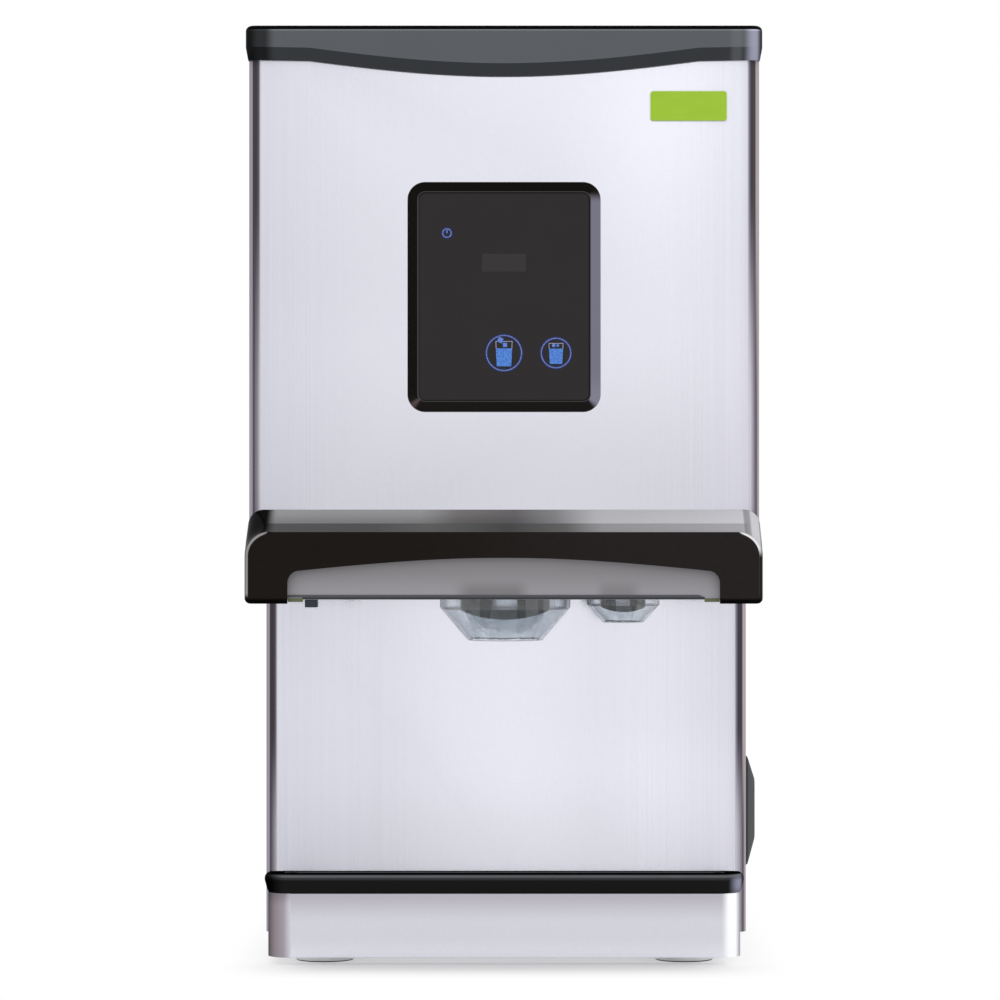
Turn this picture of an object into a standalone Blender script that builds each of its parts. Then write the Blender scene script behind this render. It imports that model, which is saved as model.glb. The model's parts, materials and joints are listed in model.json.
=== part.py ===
"""Countertop ice and water dispenser, modelled as an assembly of separate pieces.

Machine frame: X to the right, Y from the face of the front panel to the back, Z up from the counter.
One empty carries every piece and puts the origin under the middle of the whole machine.
Lengths are in metres and angles in degrees.
"""
import math

import bmesh
import bpy
from mathutils import Matrix, Vector
from mathutils.geometry import tessellate_polygon

# Overall sizes
overall_height = 0.692
body_width = 0.376
body_depth = 0.532
recess_depth = 0.175
foot_height = 0.005

# Sheet metal, fits and overrun
panel_gauge = 0.0012
panel_corner = 0.0092
panel_return = 0.016
flange_height = 0.020
rear_corner = 0.0006
fit_gap = 0.0003
overrun = 0.003

# Roundness, in steps for a full turn and for a quarter turn
fine_steps = 24
round_steps = 20
small_steps = 12
corner_steps = 3

# Top cap
cap_plate = 0.004
cap_side_reach = 0.0025
cap_front_reach = 0.008
cap_rear_reach = 0.0025
cap_corner = 0.008
cap_rear_corner = 0.003
cap_top_round = 0.004
cap_band_drop = 0.0161
cap_edge_drop = 0.0251
cap_bow = 0.0121
cap_bow_half_width = 0.149
cap_undercut_front = 0.005
cap_undercut_side = 0.0017
cap_bow_steps = 14

# Visor under the front panel
visor_reach = 0.037
visor_half_width = 0.1888
visor_wall = 0.003
visor_bottom = 0.2675
visor_back_rise = 0.0679
visor_ridge_rise = 0.0579
visor_brow_rise = 0.0533
visor_face_rise = 0.0498
visor_ridge_depth = 0.022
visor_brow_depth = 0.030
visor_lip_depth = 0.0352
visor_back_corner = 0.0118
visor_ridge_corner = 0.0165
visor_brow_corner = 0.0185
visor_face_corner = 0.0165
visor_foot_corner = 0.004
visor_edge_round = 0.002
visor_mid_swell = 0.0002
arch_half_width = 0.1575
arch_shoulder_rise = 0.0232
arch_crown_rise = 0.0325
arch_corner = 0.009
arch_steps = 16

# Grey cover that carries the two nozzles
cover_bottom = 0.2680
cover_plate = 0.003
cover_half_width = 0.158
cover_plate_half_width = 0.1467
cover_face_reach = 0.0315
cover_face_wall = 0.0025
cover_face_height = 0.044
cover_rib = 0.003
cover_rib_start = 0.059
catch_centre = -0.1406
catch_width = 0.009
catch_depth = 0.014
catch_drop = 0.0042

# Nozzles
nozzle_line = 0.090
nozzle_flange = 0.002
nozzle_flange_reach = 0.0033
nozzle_wall = 0.0022
nozzle_cone_wall = 0.0029
ice_nozzle_radius = 0.0497
ice_nozzle_mouth = 0.02835
ice_nozzle_shoulder_drop = 0.0066
ice_nozzle_drop = 0.0314
water_nozzle_radius = 0.0278
water_nozzle_mouth = 0.01545
water_nozzle_shoulder_drop = 0.0041
water_nozzle_drop = 0.0177
water_nozzle_offset = 0.090

# Ice chute with its flap
chute_width = 0.062
chute_wall = 0.003
chute_corner = 0.010
chute_skirt_radius = 0.0385
chute_skirt_height = 0.022
chute_neck = 0.014
chute_edge_drop = 0.0115
chute_edge_wave = 0.0031
chute_height = 0.066
chute_flange = 0.003
chute_flange_reach = 0.006
flap_axis_height = 0.0444
flap_axis_back = 0.022
flap_half_width = 0.0265
flap_reach = 0.048
flap_plate = 0.002
flap_pin_radius = 0.0025
flap_lever_offset = 0.059
flap_lever_width = 0.004
flap_lever_reach = 0.016
flap_lever_height = 0.006

# Solenoid that opens the flap
solenoid_width = 0.026
solenoid_depth = 0.028
solenoid_height = 0.026
solenoid_wall = 0.003
plunger_radius = 0.004
plunger_bore_gap = 0.0008
plunger_sunk = 0.009
plunger_hook_reach = 0.011
plunger_hook_depth = 0.004
plunger_hook_plate = 0.002
plunger_clear = 0.0015

# Water spout and water line
spout_radius = 0.017
spout_wall = 0.002
spout_neck_radius = 0.007
spout_bore = 0.003
spout_edge_drop = 0.0076
spout_edge_wave = 0.0016
spout_height = 0.020
line_radius = 0.004
line_bend = 0.012
line_from_side = 0.016

# Ice bin
bin_radius = 0.131
bin_wall = 0.006
bin_corner = 0.012
bin_head_room = 0.045
bin_outlet_radius = 0.0255
bin_outlet_offset = 0.076
bin_hub_bore = 0.007
lid_plate = 0.004
lid_rim = 0.010
lid_overhang = 0.003

# Agitator and its motor
agitator_shaft_radius = 0.006
agitator_hub_radius = 0.020
agitator_hub_height = 0.030
agitator_floor_gap = 0.004
agitator_wall_gap = 0.013
agitator_arm_width = 0.012
agitator_arm_height = 0.010
agitator_post_height_share = 0.55
agitator_post_radius = 0.006
agitator_arms = 3
agitator_motor_radius = 0.034
agitator_shaft_sunk = 0.012
agitator_shaft_gap = 0.0006

# Freezing cylinder, auger and ice head
evaporator_from_side = 0.0865
evaporator_from_rear = 0.068
tube_radius = 0.030
tube_wall = 0.004
jacket_radius = 0.050
jacket_start = 0.190
head_radius = 0.042
head_wall = 0.006
head_height = 0.056
head_cover = 0.008
head_drop = 0.115
head_round = 0.008
auger_radius = 0.0245
auger_core = 0.010
auger_flight = 0.004
auger_turns = 5
auger_turn_steps = 12
auger_end_gap = 0.004
transfer_radius = 0.020
transfer_wall = 0.003
transfer_sink = 0.004

# Gear unit
gearbox_wall = 0.004
gearbox_clear = 0.003
gearbox_height = 0.056
gearbox_plate = 0.004
shaft_gap = 0.0006
gear_module = 0.00255
pinion_teeth = 12
wheel_teeth = 36
gear_backlash = 0.0004
gear_thickness = 0.016
gear_lift = 0.012
tooth_top_share = 0.22
tooth_root_share = 0.62
gear_addendum_share = 0.85
gear_dedendum_share = 1.15
pinion_shaft_radius = 0.004
motor_clear = 0.0046
motor_height = 0.098
motor_round = 0.004
motor_boss_radius = 0.010
motor_boss_height = 0.004

# Compressor
compressor_radius = 0.063
compressor_height = 0.165
compressor_round = 0.028
compressor_foot_radius = 0.070
compressor_foot_plate = 0.003
compressor_foot_lift = 0.010
compressor_grommet_radius = 0.010
compressor_from_side = 0.090
compressor_from_splash = 0.074

# Condenser, shroud and fan
condenser_thickness = 0.022
condenser_height = 0.180
condenser_length = 0.200
condenser_from_side = 0.008
condenser_from_splash = 0.040
condenser_fins = 18
fin_thickness = 0.0022
fin_core_thickness = 0.008
shroud_plate = 0.003
shroud_ring_depth = 0.020
fan_radius = 0.072
fan_ring_gap = 0.003
fan_ring_wall = 0.002
fan_hub_radius = 0.020
fan_hub_depth = 0.016
fan_blades = 5
fan_blade_thickness = 0.002
fan_blade_pitch = 28.0
fan_blade_chord = 0.040
fan_motor_radius = 0.024
fan_motor_length = 0.038
fan_motor_gap = 0.0005
fan_shaft_radius = 0.003
fan_bracket_width = 0.014
fan_bracket_plate = 0.002

# Water reservoir with its float
reservoir_width = 0.100
reservoir_depth = 0.100
reservoir_height = 0.120
reservoir_wall = 0.003
reservoir_corner = 0.008
reservoir_from_side = 0.044
reservoir_from_rear = 0.026
float_pin_radius = 0.002
float_pin_gap = 0.0003
float_axis_drop = 0.040
float_axis_in = 0.012
float_arm_length = 0.048
float_arm_width = 0.006
float_arm_height = 0.004
float_radius = 0.017
float_height = 0.022
float_hang = 0.010

# Electrical box
box_width = 0.110
box_depth = 0.058
box_height = 0.150
box_wall = 0.0015
box_corner = 0.004
box_gap_behind_bin = 0.024

# Inlet valve, drain and hose
valve_from_side = 0.066
valve_height = 0.060
valve_body_radius = 0.014
valve_body_length = 0.040
valve_thread_radius = 0.012
valve_thread_reach = 0.014
valve_bore = 0.007
valve_coil_radius = 0.012
valve_coil_height = 0.030
valve_seat_reach = 0.003
drain_offset = 0.030
drain_height = 0.0145
hose_radius = 0.006
hose_hole_gap = 0.0005
hose_bend = 0.009
drain_bore = 0.003
drain_flange_radius = 0.010
drain_flange_plate = 0.002
drain_reach = 0.014
drain_inner_reach = 0.011
hose_start_back = 0.140

# Refrigerant pipes
pipe_radius = 0.0035
pipe_bend = 0.014
pipe_rise = 0.030
pipe_port_share = 0.35

# Drip base
base_half_width = 0.175
base_reach = 0.002
base_corner = 0.017
base_gauge = 0.0012
base_height = 0.0526
rim_reach = 0.0027
rim_top = 0.0666
rim_belly = 0.0635
rim_shoulder = 0.0658
rim_slope = 0.0806
rim_slope_start = 0.010
rim_slope_steps = 4
rim_top_inset = 0.003
rim_shoulder_inset = 0.001
rim_width = 0.013
rim_inner_inset = 0.015
rim_inner_drop = 0.002
rim_ledge_inset = 0.020
rim_ledge_top = 0.0440
rim_ledge_bottom = 0.0418
rim_channel_inset = 0.0125
rim_channel_edge = 0.0067
rim_channel_roof = 0.003
tray_flange = 0.0012
tray_wall = 0.0015
tray_wall_inset = 0.0204
tray_taper = 0.0016
tray_floor = 0.0250
tray_drain_radius = 0.0045
grille_plate = 0.0035
grille_bar = 0.005
grille_slot = 0.008
grille_border = 0.008
grille_mid_bar = 0.010
grille_corner = 0.004
grille_lift = 0.0003

# Control panel
control_drop = 0.0029
control_half_width = 0.0712
control_half_height = 0.0848
control_corner = 0.013
control_proud = 0.006
control_bevel = 0.0074
control_wall = 0.0012
control_land = 0.0008
control_body_inset = 0.006
control_body_depth = 0.010
glass_gap = 0.0003
glass_thickness = 0.003
glass_sunk = 0.0006
glass_ledge = 0.0035
board_plate = 0.0016
board_gap = 0.0006
display_half_width = 0.0162
display_half_height = 0.0066
display_rise = 0.0250
display_depth = 0.0040

# Badge
badge_left = 0.1077
badge_width = 0.0568
badge_height = 0.0222
badge_top_drop = 0.0478
badge_thickness = 0.0016
badge_corner = 0.002

# Rear panel
vent_slot_length = 0.110
vent_slot_height = 0.005
vent_slot_pitch = 0.014
vent_slot_rows = 9
vent_slot_low = 0.150
vent_slot_offset = 0.072
inlet_half_width = 0.0140
inlet_half_height = 0.0100
inlet_flange_reach = 0.004
inlet_flange_plate = 0.002
inlet_depth = 0.024
inlet_wall = 0.002
inlet_pin_height = 0.014
inlet_offset = 0.135
inlet_height = 0.330
switch_half_width = 0.0065
switch_half_height = 0.0115
switch_rise = 0.024
switch_corner = 0.001
rocker_gap = 0.0012
rocker_proud = 0.0028
rocker_tilt = 8.0
rocker_depth = 0.006
rocker_axis_sunk = 0.003

# Vent cover on the right side
vent_cover_start = 0.215
vent_cover_length = 0.190
vent_cover_bottom = 0.052
vent_cover_top = 0.140
vent_cover_reach = 0.012
vent_cover_slope = 0.018
vent_cover_wall = 0.002
vent_cover_corner = 0.006
vent_cover_slots = 3
vent_cover_slot_height = 0.006
vent_cover_slot_end = 0.012
side_slot_length = 0.140
side_slot_height = 0.006
side_slot_pitch = 0.012
side_slot_rows = 5

# Feet
foot_radius = 0.0225
foot_stud_radius = 0.004
foot_offset = 0.134
foot_from_front = 0.034
foot_from_rear = 0.036

# Levels and faces that follow from the sizes above
half_body = body_width / 2
inner_half = half_body - panel_gauge - fit_gap
rear_inside = body_depth - panel_gauge - fit_gap
sheet_low = foot_height + fit_gap
pan_top = foot_height + panel_gauge
cap_underside = overall_height - cap_plate
panel_top = cap_underside - fit_gap
cover_top = cover_bottom + cover_plate
deck_low = cover_top + 2 * fit_gap + nozzle_flange
deck_top = deck_low + panel_gauge
splash_inside = recess_depth + panel_gauge + fit_gap
front_inside = panel_gauge + fit_gap
base_front = -base_reach
base_rear = recess_depth - fit_gap
chute_top = deck_top + chute_height
bin_floor_low = chute_top + fit_gap
bin_floor = bin_floor_low + bin_wall
bin_top = panel_top - bin_head_room
bin_centre = nozzle_line + bin_outlet_offset
agitator_arm_reach = bin_radius - bin_wall - agitator_wall_gap
evaporator_x = -half_body + evaporator_from_side
evaporator_y = rear_inside - evaporator_from_rear
gearbox_top = pan_top + fit_gap + gearbox_height
wheel_pitch = gear_module * wheel_teeth / 2
pinion_pitch = gear_module * pinion_teeth / 2
gear_centres = wheel_pitch + pinion_pitch + gear_backlash
wheel_tip = wheel_pitch + gear_module * gear_addendum_share
pinion_tip = pinion_pitch + gear_module * gear_addendum_share
pinion_x = evaporator_x + gear_centres
motor_radius = gear_centres - tube_radius - motor_clear
gear_low = pan_top + fit_gap + gear_lift
head_low = panel_top - head_drop
tube_low = gearbox_top + fit_gap
tube_top = head_low - fit_gap
transfer_height = head_low + head_height / 2
control_top = overall_height - cap_edge_drop - cap_bow
control_centre = (control_top + visor_bottom + visor_back_rise) / 2 - control_drop
control_face = -control_proud
control_well = control_bevel + control_land
glass_face = control_face + glass_sunk
vent_x = half_body + fit_gap
left_reach = half_body + cap_side_reach
right_reach = vent_x + vent_cover_reach
rear_reach = body_depth + fit_gap + valve_thread_reach
middle_x = (right_reach - left_reach) / 2
middle_y = (rear_reach - visor_reach) / 2

PLANES = {
    "XY": lambda a, b, level: (a, b, level),
    "XZ": lambda a, b, level: (a, level, b),
    "YZ": lambda a, b, level: (level, a, b),
}


def clear_scene():
    for item in list(bpy.data.objects):
        bpy.data.objects.remove(item, do_unlink=True)


def finish(name, colour, roughness, metallic=0.0, alpha=1.0):
    """A material with the piece's colour and gloss."""
    material = bpy.data.materials.new(name)
    material.use_nodes = True
    shader = material.node_tree.nodes["Principled BSDF"]
    shader.inputs["Base Color"].default_value = (*colour, 1.0)
    shader.inputs["Roughness"].default_value = roughness
    shader.inputs["Metallic"].default_value = metallic
    shader.inputs["Alpha"].default_value = alpha
    return material


# Outlines

def arc(centre_a, centre_b, radius, start, stop, steps):
    """Points along an arc, from one angle to another."""
    points = []
    for step in range(steps + 1):
        angle = math.radians(start + (stop - start) * step / steps)
        points.append((centre_a + radius * math.cos(angle), centre_b + radius * math.sin(angle)))
    return points


def rounded(low_a, low_b, high_a, high_b, radius, far_radius=None, steps=corner_steps):
    """A rectangle with round corners: radius at the low side of b, far_radius at its high side."""
    far = radius if far_radius is None else far_radius
    return (arc(low_a + radius, low_b + radius, radius, 180, 270, steps)
            + arc(high_a - radius, low_b + radius, radius, 270, 360, steps)
            + arc(high_a - far, high_b - far, far, 0, 90, steps)
            + arc(low_a + far, high_b - far, far, 90, 180, steps))


def circle(centre_a, centre_b, radius, steps=round_steps):
    """A full turn of points, half a step off the axes so that no corner lies on a middle line."""
    start = 180 / steps
    return arc(centre_a, centre_b, radius, start, start + 360 - 360 / steps, steps - 1)


def rectangle(low_a, low_b, high_a, high_b):
    return [(low_a, low_b), (high_a, low_b), (high_a, high_b), (low_a, high_b)]


def slot(centre_a, centre_b, length, height, steps=2):
    """A long hole with round ends."""
    reach = length / 2 - height / 2
    return (arc(centre_a + reach, centre_b, height / 2, -90, 90, steps)
            + arc(centre_a - reach, centre_b, height / 2, 90, 270, steps))


def slot_rows(centre_a, low_b, length, height, pitch, rows):
    return [slot(centre_a, low_b + pitch * row, length, height) for row in range(rows)]


# Solids

def add_piece(name, bm, material, origin=(0, 0, 0)):
    """Turn a bmesh in machine coordinates into an object whose origin is where it turns or slides."""
    bmesh.ops.recalc_face_normals(bm, faces=bm.faces)
    bmesh.ops.translate(bm, verts=bm.verts, vec=-Vector(origin))
    mesh = bpy.data.meshes.new(name)
    bm.to_mesh(mesh)
    bm.free()
    mesh.materials.append(material)
    piece = bpy.data.objects.new(name, mesh)
    bpy.context.collection.objects.link(piece)
    piece.location = origin
    piece.parent = machine_frame
    return piece


def smooth(piece, angle=35.0):
    piece.data.shade_smooth()
    piece.data.set_sharp_from_angle(angle=math.radians(angle))
    return piece


def plate_mesh(plane, outline, low, high, holes=()):
    """A flat plate between two levels, with any outline and any holes."""
    place = PLANES[plane]
    loops = [outline, *holes]
    triangles = tessellate_polygon([[Vector((a, b, 0)) for a, b in loop] for loop in loops])
    bm = bmesh.new()
    lower = [bm.verts.new(place(a, b, low)) for loop in loops for a, b in loop]
    upper = [bm.verts.new(place(a, b, high)) for loop in loops for a, b in loop]
    for corners in triangles:
        bm.faces.new([lower[corner] for corner in corners])
        bm.faces.new([upper[corner] for corner in corners])
    start = 0
    for loop in loops:
        count = len(loop)
        for step in range(count):
            here = start + step
            after = start + (step + 1) % count
            bm.faces.new((lower[here], lower[after], upper[after], upper[here]))
        start += count
    return bm


def plate(name, material, plane, outline, low, high, holes=(), origin=(0, 0, 0)):
    return add_piece(name, plate_mesh(plane, outline, low, high, holes), material, origin)


def skin_mesh(loops, closed=False):
    """A solid through a row of loops with equal point counts; a loop of one point is a tip."""
    bm = bmesh.new()
    rows = [[bm.verts.new(point) for point in loop] for loop in loops]
    pairs = list(zip(rows, rows[1:]))
    if closed:
        pairs.append((rows[-1], rows[0]))
    for near, far in pairs:
        count = max(len(near), len(far))
        for step in range(count):
            after = (step + 1) % count
            corners = []
            for row, index in ((near, step), (near, after), (far, after), (far, step)):
                vertex = row[index % len(row)]
                if vertex not in corners:
                    corners.append(vertex)
            if len(corners) > 2:
                bm.faces.new(corners)
    if not closed:
        for row in (rows[0], rows[-1]):
            if len(row) > 1:
                bm.faces.new(row)
    return bm


def skin(name, material, loops, closed=False, origin=(0, 0, 0)):
    return add_piece(name, skin_mesh(loops, closed), material, origin)


def turned_loops(profile, axis, centre, steps):
    """Rings for an outline of radius and height along an axis through a centre."""
    loops = []
    for radius, height in profile:
        ring = circle(0, 0, radius, steps) if radius > 0 else [(0, 0)]
        loop = []
        for a, b in ring:
            local = {"X": (height, a, b), "Y": (a, height, b), "Z": (a, b, height)}[axis]
            loop.append(tuple(c + offset for c, offset in zip(centre, local)))
        loops.append(loop)
    return loops


def turned_mesh(profile, axis="Z", centre=(0, 0, 0), steps=round_steps, closed=False):
    return skin_mesh(turned_loops(profile, axis, centre, steps), closed)


def turned(name, material, profile, axis="Z", centre=(0, 0, 0), steps=round_steps, closed=False,
           origin=(0, 0, 0)):
    """A turned piece; heights in the profile are along the axis, from the centre."""
    return smooth(add_piece(name, turned_mesh(profile, axis, centre, steps, closed), material, origin))


def box_mesh(low, high):
    return plate_mesh("XY", rectangle(low[0], low[1], high[0], high[1]), low[2], high[2])


def tool(name, bm):
    """A shape that only cuts or adds; it is not a piece of its own."""
    shape = add_piece(name, bm, guide_finish)
    shape.hide_render = True
    shape.display_type = "WIRE"
    return shape


def combine(piece, bm, operation):
    shape = tool(piece.name + "_tool", bm)
    modifier = piece.modifiers.new(operation.title(), "BOOLEAN")
    modifier.operation = operation
    modifier.solver = "EXACT"
    modifier.object = shape
    return piece


def cut(piece, bm):
    return combine(piece, bm, "DIFFERENCE")


def join(piece, bm):
    return combine(piece, bm, "UNION")


def rounded_route(corners, bend, steps=3):
    """A smooth route through corner points, with an arc of the given reach at each corner."""
    points = [Vector(corners[0])]
    for before, corner, after in zip(corners, corners[1:], corners[2:]):
        corner = Vector(corner)
        entry = corner + (Vector(before) - corner).normalized() * bend
        leave = corner + (Vector(after) - corner).normalized() * bend
        for step in range(steps + 1):
            share = step / steps
            points.append(entry.lerp(corner, share).lerp(corner.lerp(leave, share), share))
    points.append(Vector(corners[-1]))
    return points


def pipe(name, material, corners, radius, bend):
    """A round pipe or hose along a route."""
    curve = bpy.data.curves.new(name, "CURVE")
    curve.dimensions = "3D"
    curve.bevel_depth = radius
    curve.bevel_resolution = 2
    curve.use_fill_caps = True
    points = rounded_route(corners, bend)
    spline = curve.splines.new("POLY")
    spline.points.add(len(points) - 1)
    for place, point in zip(spline.points, points):
        place.co = (*point, 1)
    curve.materials.append(material)
    piece = bpy.data.objects.new(name, curve)
    bpy.context.collection.objects.link(piece)
    piece.parent = machine_frame
    return piece


def level_loop(outline, plane, level):
    return [PLANES[plane](a, b, level) for a, b in outline]


# Casing

def bent_panel(name, material, face, low, high):
    """A sheet whose two upright edges are bent back round the corners of the body."""
    back = face + panel_return
    centre = half_body - panel_corner
    bend = face + panel_corner
    inner = panel_corner - panel_gauge
    outline = [(-half_body, back)]
    outline += arc(-centre, bend, panel_corner, 180, 270, corner_steps)
    outline += arc(centre, bend, panel_corner, 270, 360, corner_steps)
    outline += [(half_body, back), (half_body - panel_gauge, back)]
    outline += arc(centre, bend, inner, 360, 270, corner_steps)
    outline += arc(-centre, bend, inner, 270, 180, corner_steps)
    outline.append((panel_gauge - half_body, back))
    return smooth(plate(name, material, "XY", outline, low, high))


def upper_front_panel():
    panel = bent_panel("upper_front_panel", steel, 0, deck_low, panel_top)
    reach_a = control_half_width - control_body_inset + fit_gap
    reach_b = control_half_height - control_body_inset + fit_gap
    opening = rounded(-reach_a, control_centre - reach_b, reach_a, control_centre + reach_b,
                      control_corner - control_body_inset)
    cut(panel, plate_mesh("XZ", opening, -overrun, panel_gauge + overrun))


def splash_panel():
    panel = bent_panel("splash_panel", steel, recess_depth, sheet_low, deck_low - fit_gap)
    hole = circle(drain_offset, drain_height, hose_radius + hose_hole_gap, small_steps)
    cut(panel, plate_mesh("XZ", hole, recess_depth - overrun, splash_inside + overrun))


def side_outline():
    upper_front = panel_return + fit_gap
    lower_front = recess_depth + panel_return + fit_gap
    return [(lower_front, sheet_low), (rear_inside, sheet_low), (rear_inside, panel_top),
            (upper_front, panel_top), (upper_front, deck_low), (lower_front, deck_low)]


def side_panels():
    vent_middle = vent_cover_start + vent_cover_length / 2
    low_row = (vent_cover_bottom + vent_cover_top - side_slot_pitch * (side_slot_rows - 1)) / 2
    slots = slot_rows(vent_middle, low_row, side_slot_length, side_slot_height, side_slot_pitch,
                      side_slot_rows)
    for name, side in (("side_panel_left", -1), ("side_panel_right", 1)):
        inside = side * (half_body - panel_gauge)
        plate(name, steel, "YZ", side_outline(), inside, side * half_body, slots)


def rear_panel():
    holes = []
    for side in (-1, 1):
        holes += slot_rows(side * vent_slot_offset, vent_slot_low, vent_slot_length, vent_slot_height,
                           vent_slot_pitch, vent_slot_rows)
    holes.append(circle(half_body - valve_from_side, valve_height, valve_thread_radius + fit_gap))
    holes.append(circle(drain_offset, drain_height, hose_radius + fit_gap, small_steps))
    holes.append(inlet_outline(fit_gap))
    outline = [(-half_body, sheet_low), (half_body, sheet_low), (half_body, panel_top),
               (-half_body, panel_top)]
    plate("rear_panel", steel, "XZ", outline, body_depth - panel_gauge, body_depth, holes)


def pan(name, material, outline, inner_outline, low, gauge, high):
    """A shallow tray of sheet with upturned edges."""
    return skin(name, material, [
        level_loop(outline, "XY", low),
        level_loop(outline, "XY", high),
        level_loop(inner_outline, "XY", high),
        level_loop(inner_outline, "XY", low + gauge),
    ])


def base_pan():
    corner = panel_corner - panel_gauge - fit_gap
    outer = rounded(-inner_half, splash_inside, inner_half, rear_inside, corner, rear_corner)
    inner = rounded(-inner_half + panel_gauge, splash_inside + panel_gauge, inner_half - panel_gauge,
                    rear_inside - panel_gauge, corner - panel_gauge, rear_corner)
    piece = pan("base_pan", galvanised, outer, inner, foot_height, panel_gauge,
                foot_height + flange_height)
    hose_hole = circle(drain_offset, drain_height, hose_radius + hose_hole_gap, small_steps)
    cut(piece, plate_mesh("XZ", hose_hole, splash_inside - overrun, splash_inside + overrun))
    cut(piece, plate_mesh("XZ", hose_hole, rear_inside - overrun, rear_inside + overrun))
    for side in (-1, 1):
        stud_hole = circle(side * foot_offset, rear_inside - foot_from_rear,
                           foot_stud_radius + fit_gap, small_steps)
        cut(piece, plate_mesh("XY", stud_hole, foot_height - overrun, pan_top + overrun))


def middle_deck():
    """Deck between the upper and lower bodies; it also closes the top of the cup bay."""
    corner = panel_corner - panel_gauge - fit_gap
    outer = rounded(-inner_half, front_inside, inner_half, rear_inside, corner, rear_corner)
    inner = rounded(-inner_half + panel_gauge, front_inside + panel_gauge, inner_half - panel_gauge,
                    rear_inside - panel_gauge, corner - panel_gauge, rear_corner)
    piece = pan("middle_deck", galvanised, outer, inner, deck_low, panel_gauge,
                deck_low + flange_height)
    holes = (
        circle(0, nozzle_line, chute_skirt_radius + overrun),
        circle(water_nozzle_offset, nozzle_line, spout_neck_radius + fit_gap),
        circle(evaporator_x, evaporator_y, jacket_radius + fit_gap),
        circle(line_x(), valve_y(), line_radius + fit_gap, small_steps),
    )
    for hole in holes:
        cut(piece, plate_mesh("XY", hole, deck_low - overrun, deck_top + overrun))


def cap_loop(inset_front, inset_side, inset_rear, corner, far_corner, level, bow):
    """One ring of the cap; the front run sags by the bow towards its middle."""
    left = inset_side - left_reach
    right = left_reach - inset_side
    front = inset_front - cap_front_reach
    rear = body_depth + cap_rear_reach - inset_rear
    points = []
    for a, b in arc(left + corner, front + corner, corner, 180, 270, corner_steps):
        points.append((a, b, level))
    for step in range(1, cap_bow_steps):
        share = 2 * step / cap_bow_steps - 1
        sag = bow * math.cos(share * math.pi / 2)
        points.append((cap_bow_half_width * share, front, level - sag))
    for a, b in (arc(right - corner, front + corner, corner, 270, 360, corner_steps)
                 + arc(right - far_corner, rear - far_corner, far_corner, 0, 90, corner_steps)
                 + arc(left + far_corner, rear - far_corner, far_corner, 90, 180, corner_steps)):
        points.append((a, b, level))
    return points


def top_cap():
    edge = overall_height - cap_edge_drop
    band = overall_height - cap_band_drop
    shoulder = overall_height - cap_top_round
    side_inside = cap_side_reach - fit_gap
    front_face = cap_front_reach - fit_gap
    rear_face = cap_rear_reach - fit_gap
    round_half = cap_top_round * (1 - math.sqrt(2) / 2)
    loops = [
        cap_loop(front_face, side_inside, rear_face, panel_corner + fit_gap, rear_corner,
                 cap_underside, 0),
        cap_loop(front_face, side_inside, rear_face, panel_corner + fit_gap, rear_corner, edge, cap_bow),
        cap_loop(cap_undercut_front, cap_undercut_side, 0, cap_corner - cap_undercut_front,
                 cap_rear_corner, edge, cap_bow),
        cap_loop(0, 0, 0, cap_corner, cap_rear_corner, band, cap_bow),
        cap_loop(0, 0, 0, cap_corner, cap_rear_corner, shoulder, 0),
        cap_loop(round_half, round_half, round_half, cap_corner - round_half,
                 cap_rear_corner - round_half, overall_height - round_half, 0),
        cap_loop(cap_top_round, cap_top_round, cap_top_round, cap_corner - cap_top_round, rear_corner,
                 overall_height, 0),
    ]
    smooth(skin("top_cap", dark_plastic, loops), 25.0)


# Visor and nozzle cover

def visor_outline(half_width, top, corner, bottom):
    return (arc(-half_width + visor_foot_corner, bottom + visor_foot_corner, visor_foot_corner,
                180, 270, corner_steps)
            + arc(half_width - visor_foot_corner, bottom + visor_foot_corner, visor_foot_corner,
                  270, 360, corner_steps)
            + arc(half_width - corner, top - corner, corner, 0, 90, 2 * corner_steps)
            + arc(-half_width + corner, top - corner, corner, 90, 180, 2 * corner_steps))


def visor_stations():
    """Depth, half width, rise and corner radius of each section, from the panel to the face."""
    swollen = visor_half_width + visor_mid_swell
    return (
        (-fit_gap, visor_half_width, visor_back_rise, visor_back_corner),
        (-visor_ridge_depth, swollen, visor_ridge_rise, visor_ridge_corner),
        (-visor_brow_depth, swollen, visor_brow_rise, visor_brow_corner),
        (-visor_lip_depth, visor_half_width, visor_face_rise + visor_edge_round, visor_brow_corner),
        (-visor_reach, visor_half_width - visor_edge_round, visor_face_rise, visor_face_corner),
    )


def arch_outline():
    """The opening in the visor's face: upright sides, round shoulders and a shallow crown."""
    shoulder = visor_bottom + arch_shoulder_rise
    crown = visor_bottom + arch_crown_rise
    flank = arch_half_width - arch_corner
    points = [(-arch_half_width, visor_bottom - overrun)]
    points += arc(-flank, shoulder - arch_corner, arch_corner, 180, 105, corner_steps)
    for step in range(1, arch_steps):
        share = 2 * step / arch_steps - 1
        points.append((flank * share, shoulder + (crown - shoulder) * math.cos(share * math.pi / 2)))
    points += arc(flank, shoulder - arch_corner, arch_corner, 75, 0, corner_steps)
    points.append((arch_half_width, visor_bottom - overrun))
    return points


def visor():
    outer = []
    inner = []
    for depth, half_width, rise, corner in visor_stations():
        outline = visor_outline(half_width, visor_bottom + rise, corner, visor_bottom)
        outer.append(level_loop(outline, "XZ", depth))
        hollow = visor_outline(half_width - visor_wall, visor_bottom + rise - visor_wall,
                               corner - visor_wall, visor_bottom - 2 * visor_foot_corner)
        inner.append(level_loop(hollow, "XZ", min(depth + visor_wall, overrun)))
    piece = skin("visor", gloss_plastic, outer)
    cut(piece, skin_mesh(inner))
    cut(piece, plate_mesh("XZ", arch_outline(), -visor_reach - overrun, -visor_reach + 2 * visor_wall))
    smooth(piece)


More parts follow.
